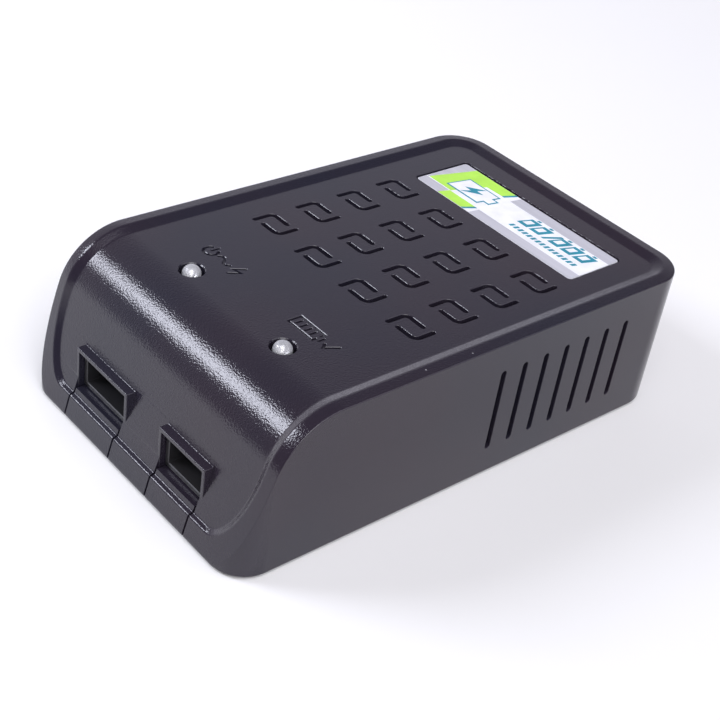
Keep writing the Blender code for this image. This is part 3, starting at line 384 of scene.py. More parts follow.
# name, colour, roughness, stretch and depth of the lines
BRUSHED = {
    "tin": ("contact_tin", (0.80, 0.79, 0.75), (0.16, 0.30), (1, 0.05, 1), 0.004),
    "nickel": ("inlet_nickel", (0.78, 0.76, 0.69), (0.14, 0.26), (1, 0.05, 1), 0.004),
    "aluminium": ("heat_sink_aluminium", (0.72, 0.73, 0.74), (0.28, 0.42), (1, 0.04, 1), 0.01),
    "steel": ("screw_steel", (0.50, 0.50, 0.52), (0.22, 0.40), (1, 1, 0.1), 0.006),
    "silver": ("label_silver_band", (0.62, 0.62, 0.67), (0.30, 0.42), (0.03, 1, 1), 0.003, 0.15),
}


def make_materials():
    materials = {key: moulded(*values) for key, values in MOULDED.items()}
    materials.update({key: brushed(*values) for key, values in BRUSHED.items()})
    materials.update({
        "case": moulded("case_black_plastic", (0.018, 0.0175, 0.028), (0.024, 0.018, 0.027),
                        (0.11, 0.14), 0.26, 0.038, dust=0.8),
        "epoxy": epoxy("lamp_epoxy"),
        "board": laminate("board_laminate"),
        "tape": wound("winding_tape", (0.75, 0.56, 0.07), 1.6),
        "film": printed("label_white_film", (0.86, 0.87, 0.89)),
        "lime": printed("label_lime_ink", (0.45, 0.82, 0.08), fleck=0.05),
        "teal": printed("label_teal_ink", (0.010, 0.25, 0.34), fleck=0.08),
    })
    return materials


# ---------------------------------------------------------------- mesh helpers

SHARP = math.radians(35)


def add_object(name, bm, material=None):
    bmesh.ops.recalc_face_normals(bm, faces=bm.faces)
    mesh = bpy.data.meshes.new(name)
    bm.to_mesh(mesh)
    bm.free()
    mesh.shade_smooth()
    mesh.set_sharp_from_angle(angle=SHARP)
    obj = bpy.data.objects.new(name, mesh)
    bpy.context.collection.objects.link(obj)
    if material:
        mesh.materials.append(material)
    return obj


def combine(obj, bm, operation="DIFFERENCE"):
    """Cut obj by the shape in bm, or join or intersect it, and keep only the result."""
    tool = add_object("tool", bm)
    mod = obj.modifiers.new("combine", "BOOLEAN")
    mod.operation = operation
    mod.solver = "EXACT"
    mod.object = tool
    bake_modifiers(obj)
    drop(tool)


def drop(obj):
    mesh = obj.data
    bpy.data.objects.remove(obj, do_unlink=True)
    bpy.data.meshes.remove(mesh)


def take_mesh(obj):
    """The mesh of a helper object as a bmesh; the object itself goes."""
    bm = bmesh.new()
    bm.from_mesh(obj.data)
    drop(obj)
    return bm


def bake_modifiers(obj):
    """Replace the mesh by what its modifiers make of it."""
    graph = bpy.context.evaluated_depsgraph_get()
    graph.update()
    mesh = bpy.data.meshes.new_from_object(obj.evaluated_get(graph), depsgraph=graph)
    old = obj.data
    obj.modifiers.clear()
    obj.data = mesh
    mesh.name = obj.name
    bpy.data.meshes.remove(old)


def finish_piece(obj, node_names=(), weighted=True):
    """Shade a piece, let it ride on the case and hide the CAD nodes it stands for."""
    obj.data.shade_smooth()
    obj.data.set_sharp_from_angle(angle=SHARP)
    if weighted:
        mod = obj.modifiers.new("weighted normals", "WEIGHTED_NORMAL")
        mod.keep_sharp = True
        mod.weight = 80
    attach(obj, "root")
    if node_names:
        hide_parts(*node_names)


def soft_copy(node, material, width):
    """A copy of a CAD node with softened edges, which stands for that node."""
    bm = bmesh.new()
    bm.from_mesh(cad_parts[node].data)
    bmesh.ops.remove_doubles(bm, verts=bm.verts, dist=0.002 * MM)
    bmesh.ops.dissolve_limit(bm, angle_limit=math.radians(1.0), verts=bm.verts, edges=bm.edges)
    obj = add_object(f"{node}_finished", bm, material)
    mod = obj.modifiers.new("soft edges", "BEVEL")
    mod.width = width
    mod.segments = 2
    mod.limit_method = "ANGLE"
    mod.angle_limit = math.radians(40)
    bake_modifiers(obj)
    finish_piece(obj, (node,))


def nodes_named(start):
    return [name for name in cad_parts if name.startswith(start)]


def middle_of(node):
    """Middle of a node's box, seen from above."""
    low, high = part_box(node)
    return (low.x + high.x) / 2, (low.y + high.y) / 2


def add_box(bm, x, y, z):
    corners = [bm.verts.new((px, py, pz)) for pz in z for py in y for px in x]
    quads = ((0, 2, 3, 1), (4, 5, 7, 6), (0, 1, 5, 4), (2, 6, 7, 3), (0, 4, 6, 2), (1, 3, 7, 5))
    for quad in quads:
        bm.faces.new([corners[i] for i in quad])


def add_ring(bm, outline, level, axes):
    """Vertices on an outline in the first two of the axes, at a level along the last."""
    ring = []
    for point in outline:
        values = dict(zip(axes, (*point, level)))
        ring.append(bm.verts.new([values[axis] for axis in "xyz"]))
    return ring


def add_stack(bm, layers, axes="xyz"):
    """Join outlines of equal length, each with its own level along the last of the axes."""
    rings = [add_ring(bm, outline, level, axes) for outline, level in layers]
    bm.faces.new(rings[0])
    bm.faces.new(rings[-1][::-1])
    for low, high in zip(rings, rings[1:]):
        for i in range(len(low)):
            j = (i + 1) % len(low)
            bm.faces.new((low[i], low[j], high[j], high[i]))


def add_prism(bm, outline, start, end, axes="xyz"):
    add_stack(bm, ((outline, start), (outline, end)), axes)


def add_posts(bm, places, radius, start, end, steps=32):
    for place in places:
        add_prism(bm, circle(place, radius, steps), start, end)


def add_flared(bm, outline_of, deep, surface, out, axes="xyz", chamfer=CHAMFER):
    """A cutter that opens into a small chamfer where it leaves the surface.

    outline_of(grow) gives the outline; deep, surface and out are levels along the cut.
    """
    step = math.copysign(chamfer, surface - deep)
    layers = ((outline_of(0.0), deep), (outline_of(0.0), surface - step),
              (outline_of(chamfer), surface), (outline_of(chamfer), out))
    add_stack(bm, layers, axes)


def arc(centre, radius, start, end, steps):
    """Points on an arc, with both of its ends; the angles are in degrees."""
    points = []
    for i in range(steps + 1):
        angle = math.radians(start + (end - start) * i / steps)
        points.append((centre[0] + radius * math.cos(angle), centre[1] + radius * math.sin(angle)))
    return points


def circle(centre, radius, steps=48):
    return arc(centre, radius, 0, 360 * (steps - 1) / steps, steps - 1)


def rounded_box(x, y, radius, steps=5):
    corners = ((x[1], y[1], 0), (x[0], y[1], 90), (x[0], y[0], 180), (x[1], y[0], 270))
    points = []
    for cx, cy, start in corners:
        toward = math.radians(start + 45)
        away = radius * math.sqrt(2)
        centre = (cx - away * math.cos(toward), cy - away * math.sin(toward))
        points += arc(centre, radius, start, start + 90, steps)
    return points


def box_outline(node, grow, radius, axes="xz", steps=5):
    """A node's box, seen along one axis, as a rounded outline that is grown on every side."""
    low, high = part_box(node)
    sides = [(getattr(low, axis) - grow, getattr(high, axis) + grow) for axis in axes]
    return rounded_box(*sides, radius, steps)


def slot_outline(x, y, steps=8):
    radius = (x[1] - x[0]) / 2
    middle = (x[0] + x[1]) / 2
    upper = arc((middle, y[1] - radius), radius, 0, 180, steps)
    return upper + arc((middle, y[0] + radius), radius, 180, 360, steps)


def stroke(path, half_width, cap_steps=6):
    """The outline of a line drawn along path with a round-ended pen."""
    points = [Vector(point) for point in path]
    ways = [(b - a).normalized() for a, b in zip(points, points[1:])]
    sides = []
    for i in range(len(points)):
        before = ways[max(i - 1, 0)]
        after = ways[min(i, len(ways) - 1)]
        across = (before + after).normalized()
        normal = Vector((-across.y, across.x))
        sides.append(normal / max(0.5, across.dot(after)))
    left = [point + side * half_width for point, side in zip(points, sides)]
    right = [point - side * half_width for point, side in zip(points, sides)]
    heading = math.degrees(math.atan2(ways[-1].y, ways[-1].x))
    tip = arc(points[-1], half_width, heading + 90, heading - 90, cap_steps)[1:-1]
    heading = math.degrees(math.atan2(ways[0].y, ways[0].x))
    tail = arc(points[0], half_width, heading - 90, heading - 270, cap_steps)[1:-1]
    return [tuple(p) for p in left] + tip + [tuple(p) for p in reversed(right)] + tail


def add_turned(bm, centre, profile, steps=48, axes="xyz"):
    """Turn (radius, level) pairs, which start and end on the axis, about that axis."""
    rings = []
    for radius, level in profile:
        outline = circle(centre, radius, steps) if radius else [centre]
        rings.append(add_ring(bm, outline, level, axes))
    for low, high in zip(rings, rings[1:]):
        for i in range(steps):
            j = (i + 1) % steps
            below = [low[i % len(low)], low[j % len(low)]]
            above = [high[j % len(high)], high[i % len(high)]]
            bm.faces.new(list(dict.fromkeys(below + above)))


# ---------------------------------------------------------------- the case's surface

def profile_point(kind, value, depth):
    """(y, z) on the side profile, depth below the crest: on the bend at an angle from upright, or
    on the slope at a distance below the bend's end."""
    radius = BEND_RADIUS - depth
    angle = value if kind == "bend" else SLOPE_ANGLE
    y = BEND_START - radius * math.sin(angle)
    z = TOP - BEND_RADIUS + radius * math.cos(angle)
    if kind == "slope":
        y -= value * math.cos(SLOPE_ANGLE)
        z -= value * math.sin(SLOPE_ANGLE)
    return y, z


def roof_height(y, depth):
    radius = BEND_RADIUS - depth
    end_y, end_z = profile_point("slope", 0.0, depth)
    if y >= BEND_START:
        return TOP - depth
    if y >= end_y:
        return TOP - BEND_RADIUS + math.sqrt(radius ** 2 - (y - BEND_START) ** 2)
    return end_z - (end_y - y) * math.tan(SLOPE_ANGLE)


def slope_y(z, depth):
    end_y, end_z = profile_point("slope", 0.0, depth)
    return end_y - (end_z - z) / math.tan(SLOPE_ANGLE)


SLOPE_LENGTH = (HALF_LENGTH + profile_point("slope", 0.0, RIM_CROWN)[0]) / math.cos(SLOPE_ANGLE)
BEND_ANGLES = [SLOPE_ANGLE * i / BEND_STEPS for i in range(BEND_STEPS + 1)]


def edge_half(inset=0.0, level=None):
    """Right half of the case's plan outline, back to front, lifted to the rim's outer edge or to
    one level."""
    points = []
    half_width = HALF_WIDTH - inset
    back = HALF_LENGTH - BACK_CORNER
    front = -HALF_LENGTH + FRONT_CORNER
    for x, y in arc((HALF_WIDTH - BACK_CORNER, back), BACK_CORNER - inset, 90, 0, CORNER_STEPS):
        points.append((x, y, TOP - RIM_CROWN))
    for angle in BEND_ANGLES:
        points.append((half_width, *profile_point("bend", angle, RIM_CROWN)))
    for x, y in arc((HALF_WIDTH - FRONT_CORNER, front), FRONT_CORNER - inset, 0, -90, SWEEP_STEPS)[1:]:
        points.append((x, y, roof_height(y, RIM_CROWN)))
    if level is None:
        return points
    return [(x, y, level) for x, y, _ in points]


def loop_half(inset, depth, sill, sweep):
    """Right half of a line that runs inside the rim's edge, back to front.

    The part of the inset beyond the rim shrinks down the bend and on down the slope.
    """
    points = []
    half_width = HALF_WIDTH - inset
    radius = BACK_CORNER - inset
    gain = SLOPE_TAPER * max(0.0, inset - RIM_WIDTH)
    for x, y in arc((half_width - radius, HALF_LENGTH - BACK_CORNER), radius, 90, 0, CORNER_STEPS):
        points.append((x, y, TOP - depth))
    for i, angle in enumerate(BEND_ANGLES):
        widened = half_width + gain * 0.5 * i / BEND_STEPS
        points.append((widened, *profile_point("bend", angle, depth)))
    for i in range(1, SWEEP_STEPS + 1):
        angle = math.pi / 2 * i / SWEEP_STEPS
        widened = half_width + gain * (0.5 + 0.5 * i / SWEEP_STEPS)
        x = widened - (sweep + gain) * (1 - math.cos(angle))
        points.append((x, *profile_point("slope", (SLOPE_LENGTH - sill) * math.sin(angle), depth)))
    return points


def rounded_path(points, reaches):
    """A path through points whose inner corners are rounded, each within its own reach."""
    points = [Vector(point) for point in points]
    path = [points[0]]
    for before, corner, after, reach in zip(points, points[1:], points[2:], reaches):
        start = corner + (before - corner).normalized() * min(reach, (before - corner).length * 0.45)
        end = corner + (after - corner).normalized() * min(reach, (after - corner).length * 0.45)
        for i in range(ROUND_STEPS + 1):
            t = i / ROUND_STEPS
            path.append(start * (1 - t) ** 2 + corner * 2 * t * (1 - t) + end * t ** 2)
    return path + [points[-1]]


def add_case_skin(bm):
    """The case's outer surface as one solid, with every edge rounded."""
    panel_inset = RIM_WIDTH + PANEL_INSET
    lines = (edge_half(inset=SKIN_MARGIN, level=BOTTOM),
             edge_half(level=BOTTOM),
             edge_half(),
             loop_half(RIM_WIDTH, 0.0, CREST_SILL, CREST_SWEEP),
             loop_half(panel_inset, PANEL_DEPTH, PANEL_SILL, PANEL_SWEEP),
             loop_half(panel_inset + SKIN_MARGIN, PANEL_DEPTH, PANEL_SILL + SKIN_MARGIN,
                       PANEL_LAST_SWEEP))
    reaches = (BASE_ROUND, EDGE_ROUND, CREST_ROUND, PANEL_ROUND)
    columns = []
    for points in zip(*lines):
        path = rounded_path(points, reaches)
        right = [bm.verts.new(point) for point in path]
        left = [bm.verts.new((-point.x, point.y, point.z)) for point in path]
        columns.append((right, left))
    levels = range(len(columns[0][0]) - 1)
    for (right_a, left_a), (right_b, left_b) in zip(columns, columns[1:]):
        for k in levels:
            bm.faces.new((right_a[k], right_b[k], right_b[k + 1], right_a[k + 1]))
            bm.faces.new((left_a[k], left_a[k + 1], left_b[k + 1], left_b[k]))
        bm.faces.new((right_a[-1], right_b[-1], left_b[-1], left_a[-1]))
    for right, left in (columns[0], columns[-1]):
        for k in levels:
            bm.faces.new((right[k], left[k], left[k + 1], right[k + 1]))
    bm.faces.new([right[0] for right, _ in columns] + [left[0] for _, left in reversed(columns)])


def plan_outline(inset, front):
    """The case's plan outline, shrunk, with its front edge at the given y."""
    corner = FRONT_CORNER - inset
    half_width = HALF_WIDTH - inset
    back_centre = (half_width - BACK_CORNER + inset, HALF_LENGTH - BACK_CORNER)
    right = arc(back_centre, BACK_CORNER - inset, 90, 0, 10)
    right += arc((half_width - corner, front + corner), corner, 0, -90, 10)
    return right + [(-x, y) for x, y in reversed(right)]


def side_outline(depth, bottom, steps=16):
    """The side profile at a depth below the crest, as (y, z) points."""
    points = [(SPACE_BACK, bottom), (SPACE_BACK, TOP - depth)]
    points += [profile_point("bend", SLOPE_ANGLE * i / steps, depth) for i in range(steps + 1)]
    return points + [(slope_y(bottom, depth), bottom)]


def inner_space(bottom):
    """The hollow inside the case: the side profile pushed across it, within its plan outline."""
    bm = bmesh.new()
    add_prism(bm, side_outline(ROOF_DEPTH, bottom), -HALF_WIDTH, HALF_WIDTH, "yzx")
    space = add_object("space", bm)
    bm = bmesh.new()
    add_prism(bm, plan_outline(WALL, -HALF_LENGTH + WALL), bottom - CLEAR, TOP)
    combine(space, bm, "INTERSECT")
    return take_mesh(space)


def collar_box(node):
    """Left, right and ceiling of the opening in a socket's collar."""
    low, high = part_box(node)
    return low.x - SOCKET_FIT, high.x + SOCKET_FIT, high.z + SOCKET_FIT


# ---------------------------------------------------------------- cuts in the upper housing

def hook_path(cx, cy, turn):
    half_x, half_y = HOOK_HALF
    centre = (-half_x + HOOK_CORNER, half_y - HOOK_CORNER)
    path = [(-half_x, -HOOK_TAIL)] + arc(centre, HOOK_CORNER, 180, 90, 8) + [(HOOK_ARM, half_y)]
    return [(cx + turn * x, cy + turn * y) for x, y in path]


def add_panel_vents(bm):
    for column in range(VENT_COUNT):
        for row in range(VENT_COUNT):
            cx = VENT_CENTRE[0] + (column - (VENT_COUNT - 1) / 2) * VENT_PITCH[0]
            cy = VENT_CENTRE[1] + (row - (VENT_COUNT - 1) / 2) * VENT_PITCH[1]
            for turn in (1, -1):
                path = hook_path(cx, cy, turn)
                add_flared(bm, lambda grow: stroke(path, HOOK_SLOT / 2 + grow),
                           TOP - VENT_REACH, PANEL_Z, TOP)


def add_wall_vents(bm):
    half = WALL_VENT_SLOT / 2
    low, high = WALL_VENT_Z
    deep, out = HALF_WIDTH - WALL - CLEAR / 2, HALF_WIDTH + CLEAR / 2
    for i in range(WALL_VENT_COUNT):
        y = WALL_VENT_FIRST + i * WALL_VENT_PITCH
        for side in (-1, 1):
            add_flared(bm, lambda grow: slot_outline((y - half - grow, y + half + grow),
                                                     (low - grow, high + grow)),
                       side * deep, side * HALF_WIDTH, side * out, "yzx")


def add_lamp_holes(bm):
    for lamp in LAMPS:
        centre = middle_of(lamp)
        add_flared(bm, lambda grow: circle(centre, LAMP_HOLE_RADIUS + grow),
                   TOP - LAMP_REACH, PANEL_Z, TOP, chamfer=LAMP_CHAMFER)


def add_label_recess(bm):
    add_flared(bm, lambda grow: box_outline("label", FIT + grow, LABEL_CORNER + FIT + grow, "xy"),
               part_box("label")[0].z - FIT, PANEL_Z, TOP)


def add_socket_openings(bm):
    for node in SOCKETS:
        left, right, ceiling = collar_box(node)
        layers = []
        for grow, y in ((0.0, OPENING_BACK), (0.0, COLLAR_FRONT + CHAMFER),
                        (CHAMFER, COLLAR_FRONT), (CHAMFER, CUT_FRONT)):
            outline = ((left - grow, BOTTOM - CLEAR), (right + grow, BOTTOM - CLEAR),
                       (right + grow, ceiling + grow), (left - grow, ceiling + grow))
            layers.append((outline, y))
        add_stack(bm, layers, "xzy")


def inlet_window(grow):
    return box_outline("mains_inlet", FIT + grow, WINDOW_CORNER + grow)


def mark_strokes():
    """The two sunk marks behind the lamps, in millimetres: mains power and battery charge."""
    power = [arc((-2.9, -0.1), 1.2, 130, 410, 20), [(-2.9, 0.1), (-2.9, 1.4)]]
    power.append([(-1.1 + 3.1 * i / 16, 0.6 * math.sin(2 * math.pi * i / 16)) for i in range(17)])
    power.append([(4.0, 1.5), (2.95, -0.2), (4.55, 0.2), (3.5, -1.5)])
    battery = [[(1.0, 0.55), (1.0, 1.2), (-4.5, 1.2), (-4.5, -1.2), (1.0, -1.2), (1.0, -0.55)]]
    battery.append([(1.75, -0.5), (1.75, 0.5)])
    battery += [[(x, -0.5), (x, 0.5)] for x in (-3.5, -2.4, -1.3, -0.2)]
    battery.append([(2.75, -0.2), (3.4, -1.05), (4.6, 1.1)])
    return {"power_lamp": power, "status_lamp": battery}


def add_marks(bm):
    for lamp, strokes in mark_strokes().items():
        cx, cy = (middle + offset for middle, offset in zip(middle_of(lamp), MARK_PLACE))
        for path in strokes:
            placed = [(cx + x * MM, cy + y * MM) for x, y in path]
            add_flared(bm, lambda grow: stroke(placed, MARK_HALF_STROKE + grow),
                       PANEL_Z - MARK_DEPTH, PANEL_Z, TOP, chamfer=MARK_CHAMFER)


def add_collars(bm):
    """The collars round the sockets, with softened front edges."""
    for node in SOCKETS:
        left, right, ceiling = collar_box(node)
        add_box(bm, (left - COLLAR_WALL, right + COLLAR_WALL), (COLLAR_FRONT, BOARD_LOW.y - FIT),
                (COLLAR_FLOOR, ceiling + COLLAR_WALL))
    face = COLLAR_FRONT + 0.001 * MM
    front = [edge for edge in bm.edges if min(vert.co.y for vert in edge.verts) < face]
    bmesh.ops.bevel(bm, geom=front, offset=COLLAR_SOFT, segments=3, profile=0.5, affect="EDGES")


def add_collar_fillet(bm, node):
    """A wedge that softens the corner between a collar's lid and the front slope."""
    left, right, ceiling = collar_box(node)
    lid = ceiling + COLLAR_WALL
    join = slope_y(lid, PANEL_DEPTH)
    crown = lid + FILLET_RISE
    outline = ((join - FILLET_START, lid), (join + FILLET_ROOT[0], lid - FILLET_ROOT[1]),
               (slope_y(crown, PANEL_DEPTH), crown))
    reach = COLLAR_WALL - FILLET_INSET
    add_prism(bm, outline, left - reach, right + reach, "yzx")


def make_upper_housing(material):
    bm = bmesh.new()
    add_case_skin(bm)
    case = add_object("upper_housing_shell", bm, material)
    combine(case, inner_space(BOTTOM - CLEAR))

    bm = bmesh.new()
    add_collars(bm)
    add_posts(bm, BOSS_PLACES, BOSS_RADIUS, BOSS_SPLIT, TOP - BOSS_DROP)
    combine(case, bm, "UNION")

    for node in SOCKETS:
        bm = bmesh.new()
        add_collar_fillet(bm, node)
        combine(case, bm, "UNION")

    bm = bmesh.new()
    add_panel_vents(bm)
    add_wall_vents(bm)
    add_lamp_holes(bm)
    add_label_recess(bm)
    add_socket_openings(bm)
    add_marks(bm)
    add_flared(bm, inlet_window, HALF_LENGTH - WALL - CLEAR, HALF_LENGTH, HALF_LENGTH + CLEAR, "xzy")
    add_posts(bm, BOSS_PLACES, PILOT_RADIUS, BOSS_SPLIT - CLEAR, TOP - PILOT_DROP, 24)
    combine(case, bm)
    finish_piece(case, ("upper_housing",))


# ---------------------------------------------------------------- lower housing

def make_tabs():
    """The lower housing's two tabs, which close the case's front below the sockets."""
    bm = bmesh.new()
    add_case_skin(bm)
    tabs = add_object("tabs", bm)
    bm = bmesh.new()
    for node in SOCKETS:
        left, right, _ = collar_box(node)
        add_box(bm, (left + FIT, right - FIT), (CUT_FRONT, TAB_BACK), (BOTTOM - CLEAR, BOARD_HIGH.z))
    combine(tabs, bm, "INTERSECT")
    combine(tabs, inner_space(FLOOR_TOP - TAB_ROOT))
    return take_mesh(tabs)


def make_lower_housing(material):
    front = slope_y(FLOOR_TOP, ROOF_DEPTH) + FIT
    inset = WALL + FIT
    edge = plan_outline(inset, front)
    bm = bmesh.new()
    add_stack(bm, ((plan_outline(inset + TRAY_SOFT, front + TRAY_SOFT), BOTTOM),
                   (edge, BOTTOM + TRAY_SOFT), (edge, FLOOR_TOP)))
    plate = add_object("lower_housing_tray", bm, material)
    combine(plate, make_tabs(), "UNION")

    bm = bmesh.new()
    add_posts(bm, BOSS_PLACES, BOSS_RADIUS, BOTTOM + TAB_ROOT, BOSS_SPLIT - FIT)
    add_posts(bm, REST_PLACES, REST_RADIUS, FLOOR_TOP - REST_ROOT, BOARD_LOW.z - FIT, 24)
    combine(plate, bm, "UNION")

    bm = bmesh.new()
    below = BOTTOM - CLEAR
    seat = BOTTOM + SCREW_SEAT
    head = SCREW_HEAD + FIT
    flare = head + TRAY_SOFT
    well = ((0, below), (flare, below), (flare, BOTTOM), (head, BOTTOM + TRAY_SOFT), (head, seat),
            (PILOT_RADIUS, seat), (PILOT_RADIUS, BOSS_SPLIT + CLEAR), (0, BOSS_SPLIT + CLEAR))
    for place in BOSS_PLACES:
        add_turned(bm, place, well)
    for foot in nodes_named("foot_"):
        low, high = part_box(foot)
        radius = (high.x - low.x) / 2 + FIT
        sunk = BOTTOM + FOOT_SUNK
        add_turned(bm, middle_of(foot), ((0, below), (radius, below), (radius, sunk), (0, sunk)))
    combine(plate, bm)
    finish_piece(plate, ("lower_housing",))


def make_feet(material):
    """Rubber pads with a rounded edge and a slightly hollow middle."""
    for node in nodes_named("foot_"):
        low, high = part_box(node)
        radius = (high.x - low.x) / 2
        edge = arc((radius - FOOT_SOFT, low.z + FOOT_SOFT), FOOT_SOFT, -90, 0, 4)
        hollow = low.z + FOOT_HOLLOW
        profile = [(0, hollow), (radius * 0.55, hollow), (radius * 0.62, low.z), *edge,
                   (radius, high.z), (0, high.z)]
        bm = bmesh.new()
        add_turned(bm, middle_of(node), profile)
        finish_piece(add_object(f"{node}_pad", bm, material), (node,))


def cross_outline(centre, reach, half, scale=1.0):
    points = []
    for cos, sin in ((1, 0), (0, 1), (-1, 0), (0, -1)):
        for u, v in ((reach, -half), (reach, half), (half, half)):
            x = scale * (u * cos - v * sin)
            y = scale * (u * sin + v * cos)
            points.append((centre[0] + x, centre[1] + y))
    return points


def make_screws(material):
    """Screws with a domed head, a tapered cross recess and a ridged shank."""
    reach, half, depth = CROSS
    seat = BOTTOM + SCREW_SEAT - FIT
    for node in nodes_named("screw_"):
        low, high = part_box(node)
        centre = middle_of(node)
        dome = arc((SCREW_HEAD - SCREW_DOME, low.z + SCREW_DOME), SCREW_DOME, -90, 0, 6)
        profile = [(0, low.z), *dome, (SCREW_HEAD, seat), (SCREW_SHANK, seat)]
        root = SCREW_SHANK - THREAD_DEPTH
        pitch = (high.z - SCREW_TIP - seat) / THREAD_TURNS
        for i in range(THREAD_TURNS):
            profile += [(root, seat + (i + 0.4) * pitch), (SCREW_SHANK, seat + (i + 0.8) * pitch)]
        bm = bmesh.new()
        add_turned(bm, centre, [*profile, (root, high.z - SCREW_TIP), (0, high.z)])
        screw = add_object(f"{node}_threaded", bm, material)
        wide = cross_outline(centre, reach, half)
        narrow = cross_outline(centre, reach, half, CROSS_TAPER)
        bm = bmesh.new()
        add_stack(bm, ((wide, low.z - CLEAR / 2), (wide, low.z), (narrow, low.z + depth)))
        combine(screw, bm)
        finish_piece(screw, (node,))


# ---------------------------------------------------------------- label

def slanted(x0, x1, y0, y1, lean):
    """A block between two levels whose sides lean by the given run for each unit of height."""
    return [(x0, y0), (x1, y0), (x1 + lean * (y1 - y0), y1), (x0 + lean * (y1 - y0), y1)]


def add_print(name, material, shapes, layer=0):
    """Ink on the label, cut off at its edge; shapes use its width and height, both 0 to 1."""
    low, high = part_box("label")
    width = high.x - low.x
    height = high.y - low.y
    base = high.z + layer * INK + INK_LIFT
    bm = bmesh.new()
    for shape in shapes:
        outline = [(low.x + u * width, low.y + v * height) for u, v in shape]
        add_prism(bm, outline, base, base + INK)
    piece = add_object(name, bm, material)
    bm = bmesh.new()
    inside = box_outline("label", -INK_RIM, LABEL_CORNER, "xy")
    add_prism(bm, inside, high.z - INK, high.z + 10 * INK)
    combine(piece, bm, "INTERSECT")
    finish_piece(piece, (), weighted=False)


def emblem(points, shift=0.0):
    """Leaning shapes about the emblem's middle, from millimetres to the label's own measure."""
    low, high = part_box("label")
    middle_u, middle_v = EMBLEM_MIDDLE
    placed = []
    for x, y in points:
        u = middle_u + shift + (x + EMBLEM_LEAN * y) * MM / (high.x - low.x)
        placed.append((u, middle_v + y * MM / (high.y - low.y)))
    return placed


def battery_outline(grow):
    right = [(3.3 + grow, -2.5 - grow), (3.3 + grow, -1.1 - grow), (4.5 + grow, -1.1 - grow)]
    right += [(x, -y) for x, y in reversed(right)]
    return [(-4.4 - grow, -2.5 - grow), *right, (-4.4 - grow, 2.5 + grow)]


def make_cells(ink, film):
    """Two groups of upright battery cells with a slash between them."""
    cells, hollows = [], []
    x = 0.522
    for group, count in enumerate(CELL_GROUPS):
        for _ in range(count):
            cells.append(slanted(x, x + 0.062, 0.47, 0.715, CELL_LEAN))
            hollows.append(slanted(x + 0.018, x + 0.048, 0.53, 0.655, CELL_LEAN))
            cells.append(slanted(x + 0.046, x + 0.066, 0.735, 0.775, CELL_LEAN))
            x += 0.076
        if group == 0:
            cells.append(slanted(x + 0.004, x + 0.02, 0.46, 0.73, SLASH_LEAN))
            x += 0.042
    add_print("label_cell_marks", ink, cells)
    add_print("label_cell_hollows", film, hollows, 1)


def make_label(materials):
    film, ink = materials["film"], materials["teal"]
    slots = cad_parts["label"].data.materials
    slots.clear()
    slots.append(film)
    front, back = (-0.1, 0.19), (0.79, 1.1)
    left, right = -0.02, 1.02
    add_print("label_silver_bands", materials["silver"],
              [[(0.352, front[0]), (right, front[0]), (right, front[1]), (0.365, front[1])],
               [(0.375, back[0]), (right, back[0]), (right, back[1]), (0.39, back[1])],
               [(left, front[0]), (0.142, front[0]), (0.158, front[1]), (left, front[1])],
               [(left, 0.20), (0.012, 0.20), (0.085, back[1]), (left, back[1])]])
    add_print("label_lime_blocks", materials["lime"],
              [[(0.014, 0.21), (0.165, 0.21), (0.222, 0.775), (0.318, 0.79), (0.360, 1.1), (0.087, 1.1)],
               [(0.136, -0.1), (0.285, -0.1), (0.335, 0.195), (0.163, 0.195)]])
    add_print("label_teal_edges", ink,
              [[(0.319, 0.79), (0.334, 0.79), (0.375, 1.1), (0.361, 1.1)],
               [(0.286, -0.1), (0.301, -0.1), (0.350, 0.195), (0.336, 0.195)]])
    bolt = [(0.6, 2.1), (-1.9, -0.35), (-0.35, -0.35), (-1.0, -2.1), (1.7, 0.45), (0.15, 0.45)]
    add_print("label_emblem_line", ink, [emblem(battery_outline(0.0))], 1)
    add_print("label_emblem_fill", film, [emblem(battery_outline(-EMBLEM_LINE))], 2)
    add_print("label_emblem_bolt", ink, [emblem(bolt, shift=-0.01)], 3)
    make_cells(ink, film)
    dashes = []
    for i in range(DASH_COUNT):
        start = 0.525 + i * 0.0275
        dashes.append(slanted(start, start + 0.016, 0.29, 0.37, CELL_LEAN))
    add_print("label_dash_row", ink, dashes)


# ---------------------------------------------------------------- lamps, sockets and inlet

def make_lamps(materials):
    """Clear domed lamps, each with the metal cup of its chip inside."""
    for node in LAMPS:
        low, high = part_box(node)
        centre = middle_of(node)
        flange = (high.x - low.x) / 2
        radius = flange - 0.4 * MM
        edge = 0.1 * MM
        dome = arc((0, high.z - radius), radius, 0, 90, 12)
        bm = bmesh.new()
        add_turned(bm, centre, [(0, low.z), (flange - edge, low.z), (flange, low.z + edge),
                                (flange, low.z + 1.0 * MM), (radius, low.z + 1.05 * MM),
                                *dome[:-1], (0, high.z)])
        lens = add_object(f"{node}_lens", bm, materials["epoxy"])
        stem, rim = (0.3 * MM, low.z + 2.4 * MM), (0.75 * MM, high.z - 1.6 * MM)
        dish = high.z - 2.0 * MM
        bm = bmesh.new()
        add_turned(bm, centre, [(0, low.z - edge), (stem[0], low.z - edge), stem, rim,
                                (0.35 * MM, dish), (0, dish)], 24)
        cup = add_object(f"{node}_cup", bm, materials["tin"])
        finish_piece(lens, (node,))
        finish_piece(cup, ())


